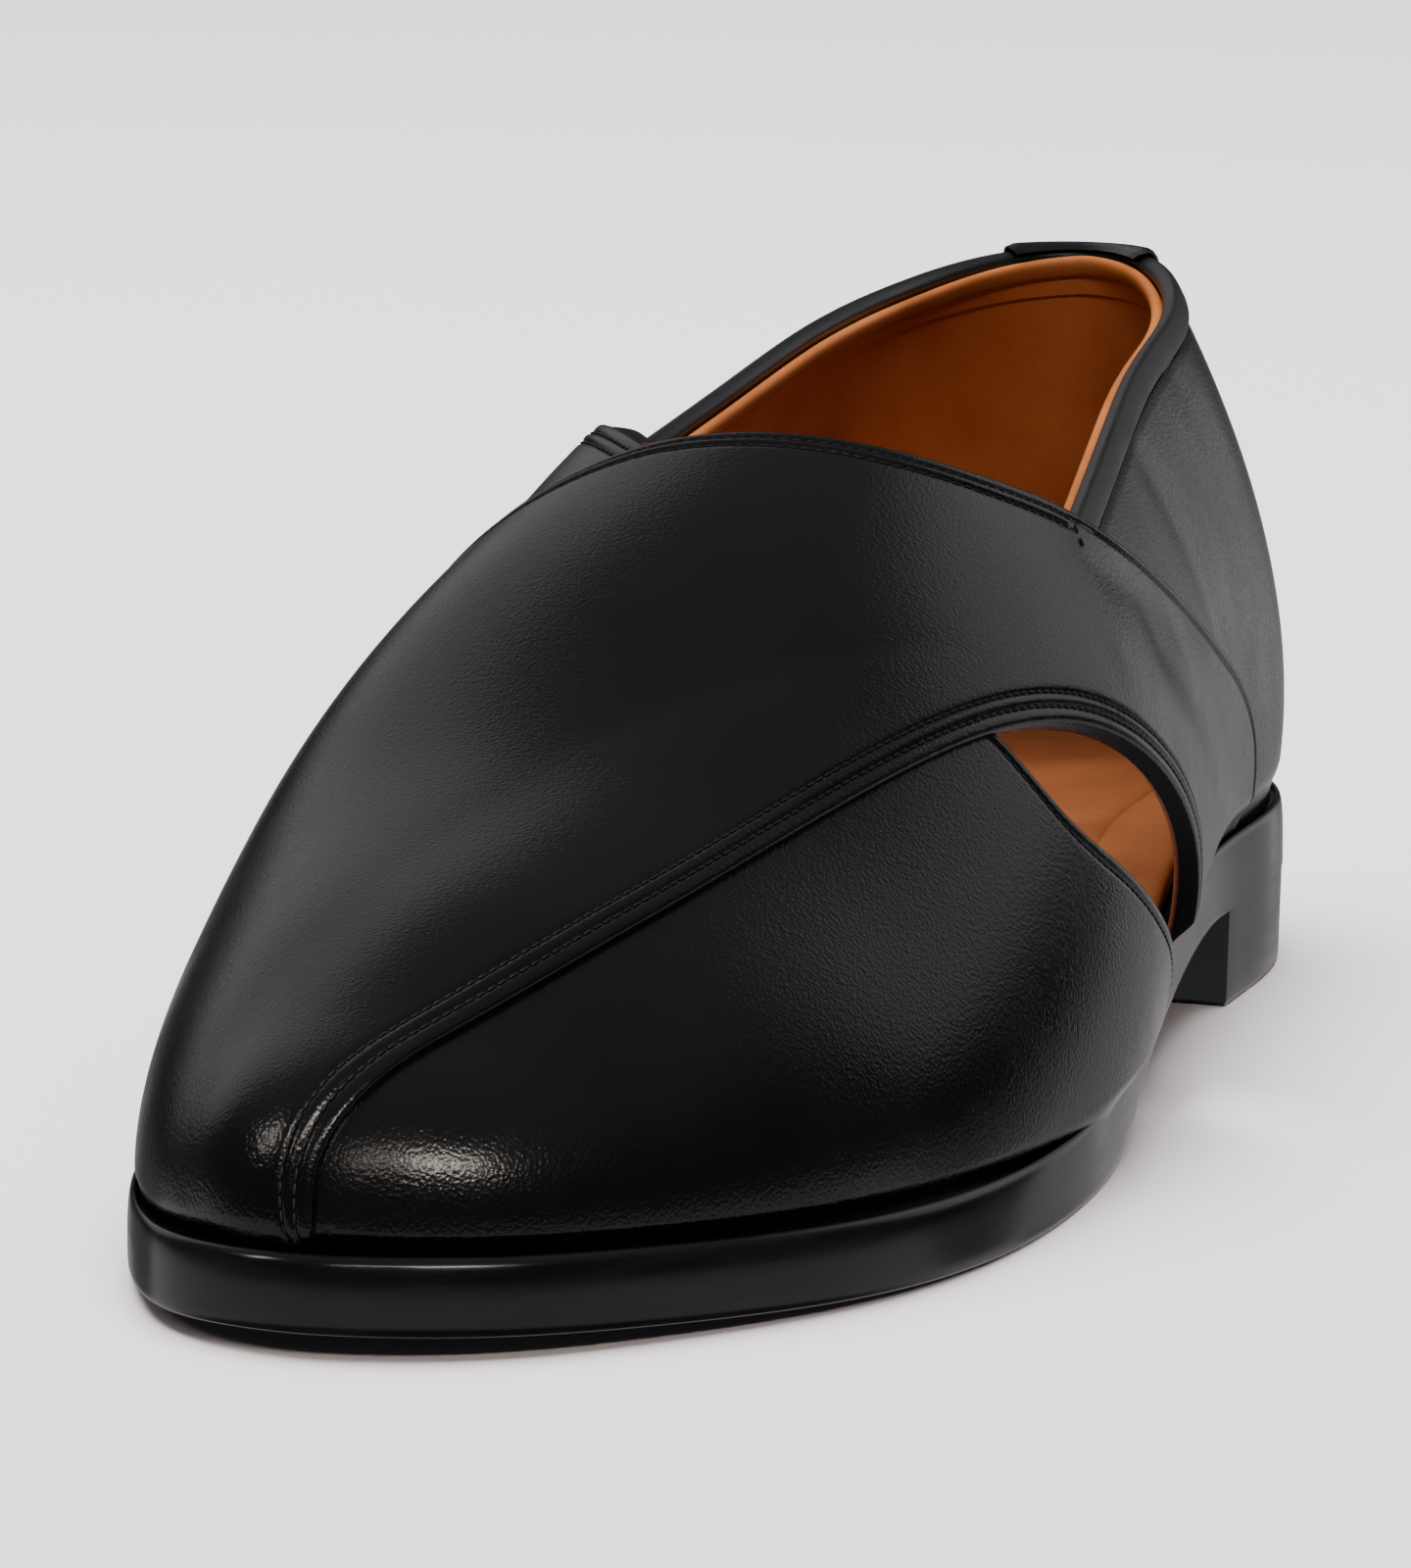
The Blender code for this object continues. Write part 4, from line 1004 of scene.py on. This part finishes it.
def make_insole():
    """The sock inside, with the line pressed in round its padded middle."""
    plan, outward, _ = welt_loop(INSOLE_STATIONS, insole_margin, insole_margin)
    rows = list(INSOLE_EDGE)
    rows += [(SOCK_LINE + aside, INSOLE_THICKNESS - down, 0.0) for aside, down in SOCK_GROOVE]
    middle = SOCK_LINE + SOCK_GROOVE[-1][0]
    rows += [(middle, INSOLE_THICKNESS, drawn) for drawn in INSOLE_SHARES]
    piece = layered("insole", plan, outward, rows, insole_bed)
    dress(piece, INSOLE_HIDE, "tan_leather", "insole")


def make_heel():
    """The heel block, with a slightly hollow breast."""
    plan, outward, _ = welt_loop(SOLE_STATIONS, WELT_AT["outer"], WELT_AT["inner"])
    plan, outward = plan[:-1], outward[:-1]
    along = MIDDLE_ALONG - plan[:, 1]
    behind = np.flatnonzero(along < HEEL_BREAST - BREAST_CORNER)
    half = len(along) // 2
    sides = np.concatenate([behind[behind > half], behind[behind < half]])
    plan, outward = plan[sides], outward[sides]
    front_y = MIDDLE_ALONG - HEEL_BREAST
    top = HEEL_HEIGHT - HEEL_SEAM
    made = []
    for inset, height, drawn in HEEL_PROFILE:
        wall = plan - outward * (HEEL_INSET + HEEL_TAPER * (1 - height) + inset)
        t = np.linspace(0, 1, BREAST_POINTS)[:, None]
        breast = wall[-1] + (wall[0] - wall[-1]) * t
        breast[:, 1] = front_y + inset / 2 + BREAST_HOLLOW * 4 * (t * (1 - t))[:, 0]
        loop = np.concatenate([wall, breast, wall[:1]])
        across = np.full(len(loop), loop[:, 0].mean())
        target = np.column_stack([across, np.clip(loop[:, 1], *HEEL_SPINE)])
        loop = loop + drawn * (target - loop)
        made.append(np.column_stack([loop, np.full(len(loop), height * top)]))
    dress(sheet("heel", np.stack(made)), HEEL_RUBBER, "black_heel", "heel")


def share_at(widths, around):
    """Share of the length at which the heel is this far round from the middle of its back."""
    shares = np.linspace(0, STRIP_REACH, STRIP_SAMPLES)
    runs = [reach_along(last_point(shares, v)) for v in around]
    return np.array([np.interp(width, reached, shares) for width, reached in zip(widths, runs)])


def smooth_path(points, count):
    """Even points on a smooth curve through the given ones."""
    reached = reach_along(points)
    at = np.linspace(0, reached[-1], count)
    return np.stack([spline(reached, column)(at) for column in points.T], 1)


def make_back_strip():
    """Strip down the back seam, folded over the binding's top."""
    heel_top = OUTER_TOPLINE[-1][1]
    around = np.append(np.linspace(0, STRIP_STRAIGHT * heel_top, STRIP_ROWS), heel_top)
    half = STRIP_HALF_FOOT + (STRIP_HALF_TOP - STRIP_HALF_FOOT) * around / heel_top
    far, near = [], []
    for share in np.linspace(-1, 1, STRIP_COLUMNS + 1):
        along = share_at(abs(share) * half, around)
        side = 1 - around if share < 0 else around
        points, normals = last_point(along, side), last_normal(along, side)
        top, out = points[-1], normals[-1]
        up = unit(points[-1] - points[-2])
        thickness = STRIP_THICKNESS * (1 - STRIP_THINNED * smooth_step(*STRIP_EDGE, abs(share)))
        low = WALL + STRIP_CLEAR
        near_side = list(points[:-1] + low * normals[:-1])
        far_side = list(points[:-1] + (low + STRIP_LIFT + thickness) * normals[:-1])
        for near_out, near_up, far_out, far_up in STRIP_FOLD:
            inner = np.array((near_out, near_up))
            outer = inner + (np.array((far_out, far_up)) - inner) * thickness / STRIP_THICKNESS
            near_side.append(top + inner[0] * out + inner[1] * up)
            far_side.append(top + outer[0] * out + outer[1] * up)
        far.append(smooth_path(np.array(far_side), STRIP_POINTS))
        near.append(smooth_path(np.array(near_side), STRIP_POINTS))
    far, near = np.stack(far, 1), np.stack(near, 1)
    dress(shell("back_strip", far, near), BLACK_CALF, "black_leather", "back_strip")


def one_stitch():
    """Corners and faces of one stitch, a small spindle along X."""
    deselect()
    bpy.ops.mesh.primitive_uv_sphere_add(segments=6, ring_count=5, radius=1)
    made = bpy.context.object
    corners = np.array([tuple(corner.co) for corner in made.data.vertices])[:, [2, 0, 1]]
    faces = sorted(tuple(face.vertices) for face in made.data.polygons)
    bpy.data.objects.remove(made)
    return corners * np.array([STITCH_LENGTH / 2, STITCH_RADIUS, STITCH_RADIUS]), faces


STITCH_CORNERS, STITCH_FACES = one_stitch()


def stitched(name, rows):
    """Rows of stitches; each row is its points and outward directions."""
    corners = []
    for points, normals in rows:
        reached = reach_along(points)
        count = int(reached[-1] / STITCH_PITCH)
        at = (np.arange(count) + 0.5) * reached[-1] / count
        ahead = interpolated(at + STITCH_LOOK, reached, points)
        along = unit(ahead - interpolated(at - STITCH_LOOK, reached, points))
        side = unit(np.cross(interpolated(at, reached, normals), along))
        turns = np.stack([along, side, np.cross(along, side)], 1)
        places = interpolated(at, reached, points)
        corners.extend(STITCH_CORNERS @ turn + place for turn, place in zip(turns, places))
    size = len(STITCH_CORNERS)
    faces = [tuple(i + k * size for i in face) for k in range(len(corners)) for face in STITCH_FACES]
    data = bpy.data.meshes.new(name)
    data.from_pydata((np.concatenate(corners) * MM).tolist(), [], faces)
    dress(placed(name, data), THREAD, "black_leather")


def inset_run(run, inside, distance):
    """The flat run moved sideways into the panel, towards the side that the point inside lies on."""
    aside = sideways(np.gradient(run, axis=0))
    middle = len(run) // 2
    if (flatten(inside) - run[middle]) @ aside[middle] < 0:
        aside = -aside
    return run + aside * distance


def row_on(flat, height):
    """Points and outward directions of a row of stitches from its flat run and height."""
    net = unflatten(flat)
    return on_last(net, height - drawn_in(net, height)), last_normal(*net.T)


def sewn_rows(run, inside, distances, height_of):
    """Rows of stitches at the given distances from an edge, sunk into the panel's face."""
    flats = [inset_run(run, inside, distance) for distance in distances]
    return [row_on(flat, height_of(flat) - STITCH_SUNK) for flat in flats]


def bar_tack():
    """The short tack that closes the double rows of the throat, across them."""
    throat = flatten(THROAT_STRAP)
    nearest = np.argmin(np.linalg.norm(throat - flatten(TACK_PLACE), axis=1))
    near = throat[nearest - TACK_NEIGHBOURS:nearest + TACK_NEIGHBOURS + 1]
    reaches = np.linspace(*TACK_REACH, TACK_POINTS)
    line = np.stack([inset_run(near, INSIDE_THROAT, reach)[TACK_NEIGHBOURS] for reach in reaches])
    return row_on(line, WALL + LAP)


def make_stitches():
    """Every visible row, each in its groove."""
    cross = flatten(CROSS_STRAP)[CROSS_STITCHED]
    back = joined(flatten(VAMP_BACK), flatten(THROAT_STRAP))[THROAT_STITCHED]
    back = back[unflatten(back)[:, 1] > TACK_AROUND[1]]
    rows = sewn_rows(cross, INSIDE_VAMP, STITCH_ROWS, vamp_height)
    rows += sewn_rows(back, INSIDE_VAMP, STITCH_ROWS, vamp_height)
    stitched("inner_vamp_stitches", rows + [bar_tack()])
    outer = flatten(OUTER_BACK)[OUTER_STITCHED]
    stitched("outer_vamp_stitches", sewn_rows(outer, INSIDE_OUTER_VAMP, SINGLE_ROW, lambda flat: WALL))
    seam = unflatten_heel(flatten_heel(collar_path(0)) - np.array([0, COLLAR_SEAM[0]]))
    seam_row = (on_last(seam, WALL - STITCH_SUNK), last_normal(*seam.T))
    stitched("binding_stitches", [seam_row])
    front = flatten(STRAP_FRONT)[STRAP_FRONT_STITCHED]
    back = flatten(STRAP_BACK)[STRAP_BACK_STITCHED]
    rows = sewn_rows(front, INSIDE_STRAP, SINGLE_ROW, strap_height)
    rows += sewn_rows(back, INSIDE_STRAP, STITCH_ROWS, strap_height)
    stitched("inner_strap_stitches", rows)


# Studio
def make_floor():
    """Seamless pale paper."""
    deselect()
    bpy.ops.mesh.primitive_circle_add(vertices=96, radius=FLOOR_RADIUS, fill_type="NGON")
    floor = bpy.context.object
    floor.name = floor.data.name = "studio_floor"
    paper = bpy.data.materials.new("pale_studio_paper")
    paper.use_nodes = True
    shader = paper.node_tree.nodes["Principled BSDF"]
    feed(paper.node_tree, shader, {"Base Color": linear("#ede5ea"), "Roughness": 0.75})
    floor.data.materials.append(paper)
    floor.visible_glossy = False


def light(name, place, aim, size, power, color="#ffffff", glossy=True):
    """A soft box of a given width and height, in metres and watts."""
    data = bpy.data.lights.new(name, "AREA")
    data.shape = "RECTANGLE"
    data.size, data.size_y = size
    data.energy = power
    data.color = linear(color)[:3]
    made = placed(name, data)
    made.location = place
    made.rotation_euler = facing(place, aim).to_euler()
    made.visible_camera = False
    made.visible_glossy = glossy


def make_surroundings():
    """A dim room: pale floor, grey ceiling, pale screens round the shoe and parts in shade."""
    world = bpy.data.worlds.new("dim_room")
    world.use_nodes = True
    tree = world.node_tree
    tree.nodes.clear()
    way = add(tree, "TexCoord").outputs["Generated"]
    height = add(tree, "SeparateXYZ", {"Vector": way}).outputs["Z"]
    fades = [
        add(tree, "MapRange", {
            "Value": height, "From Min": low, "From Max": high, "To Min": below, "To Max": above},
            interpolation_type="SMOOTHSTEP")
        for low, high, below, above in (FLOOR, BESIDE, CEILING)]
    glow = add(tree, "Math", dict(enumerate(fades)), operation="MULTIPLY_ADD")
    for spots, outside, operation in ((SCREENS, 0.0, "ADD"), (SHADES, 1.0, "MULTIPLY")):
        for middle, edge, full, inside in spots:
            near = add(tree, "VectorMath", {0: way, 1: middle}, operation="DOT_PRODUCT").outputs["Value"]
            spot = add(tree, "MapRange", {
                "Value": near, "From Min": edge, "From Max": full, "To Min": outside, "To Max": inside},
                interpolation_type="SMOOTHSTEP")
            glow = add(tree, "Math", {0: glow, 1: spot}, operation=operation)
    backdrop = add(tree, "Background", {"Color": linear("#f7f2f7"), "Strength": glow})
    add(tree, "OutputWorld", {"Surface": backdrop})
    bpy.context.scene.world = world


TOE_AIM = (0, -0.14, 0.02)
WARM = "#fff4e6"


make_inner_vamp()
make_outer_vamp()
make_inner_strap()
make_quarter()
make_collar()
make_back_strip()
make_insole()
make_inseam()
make_outsole()
make_heel()
make_stitches()
make_floor()
make_surroundings()
light("overhead_fill", (-0.35, 0.45, 2.0), (0, 0, 0), (2.0, 2.0), 150, glossy=False)
light("toe_strip", (0.46, -1.13, 0.99), TOE_AIM, (1.5, 0.05), 5.0, color=WARM)
light("toe_core", (0.66, -1.06, 0.95), TOE_AIM, (0.6, 0.04), 4.5, color=WARM)
light("toe_spot", (-1.02, -0.72, 0.88), TOE_AIM, (0.12, 0.30), 1.6, color="#fff8ee")
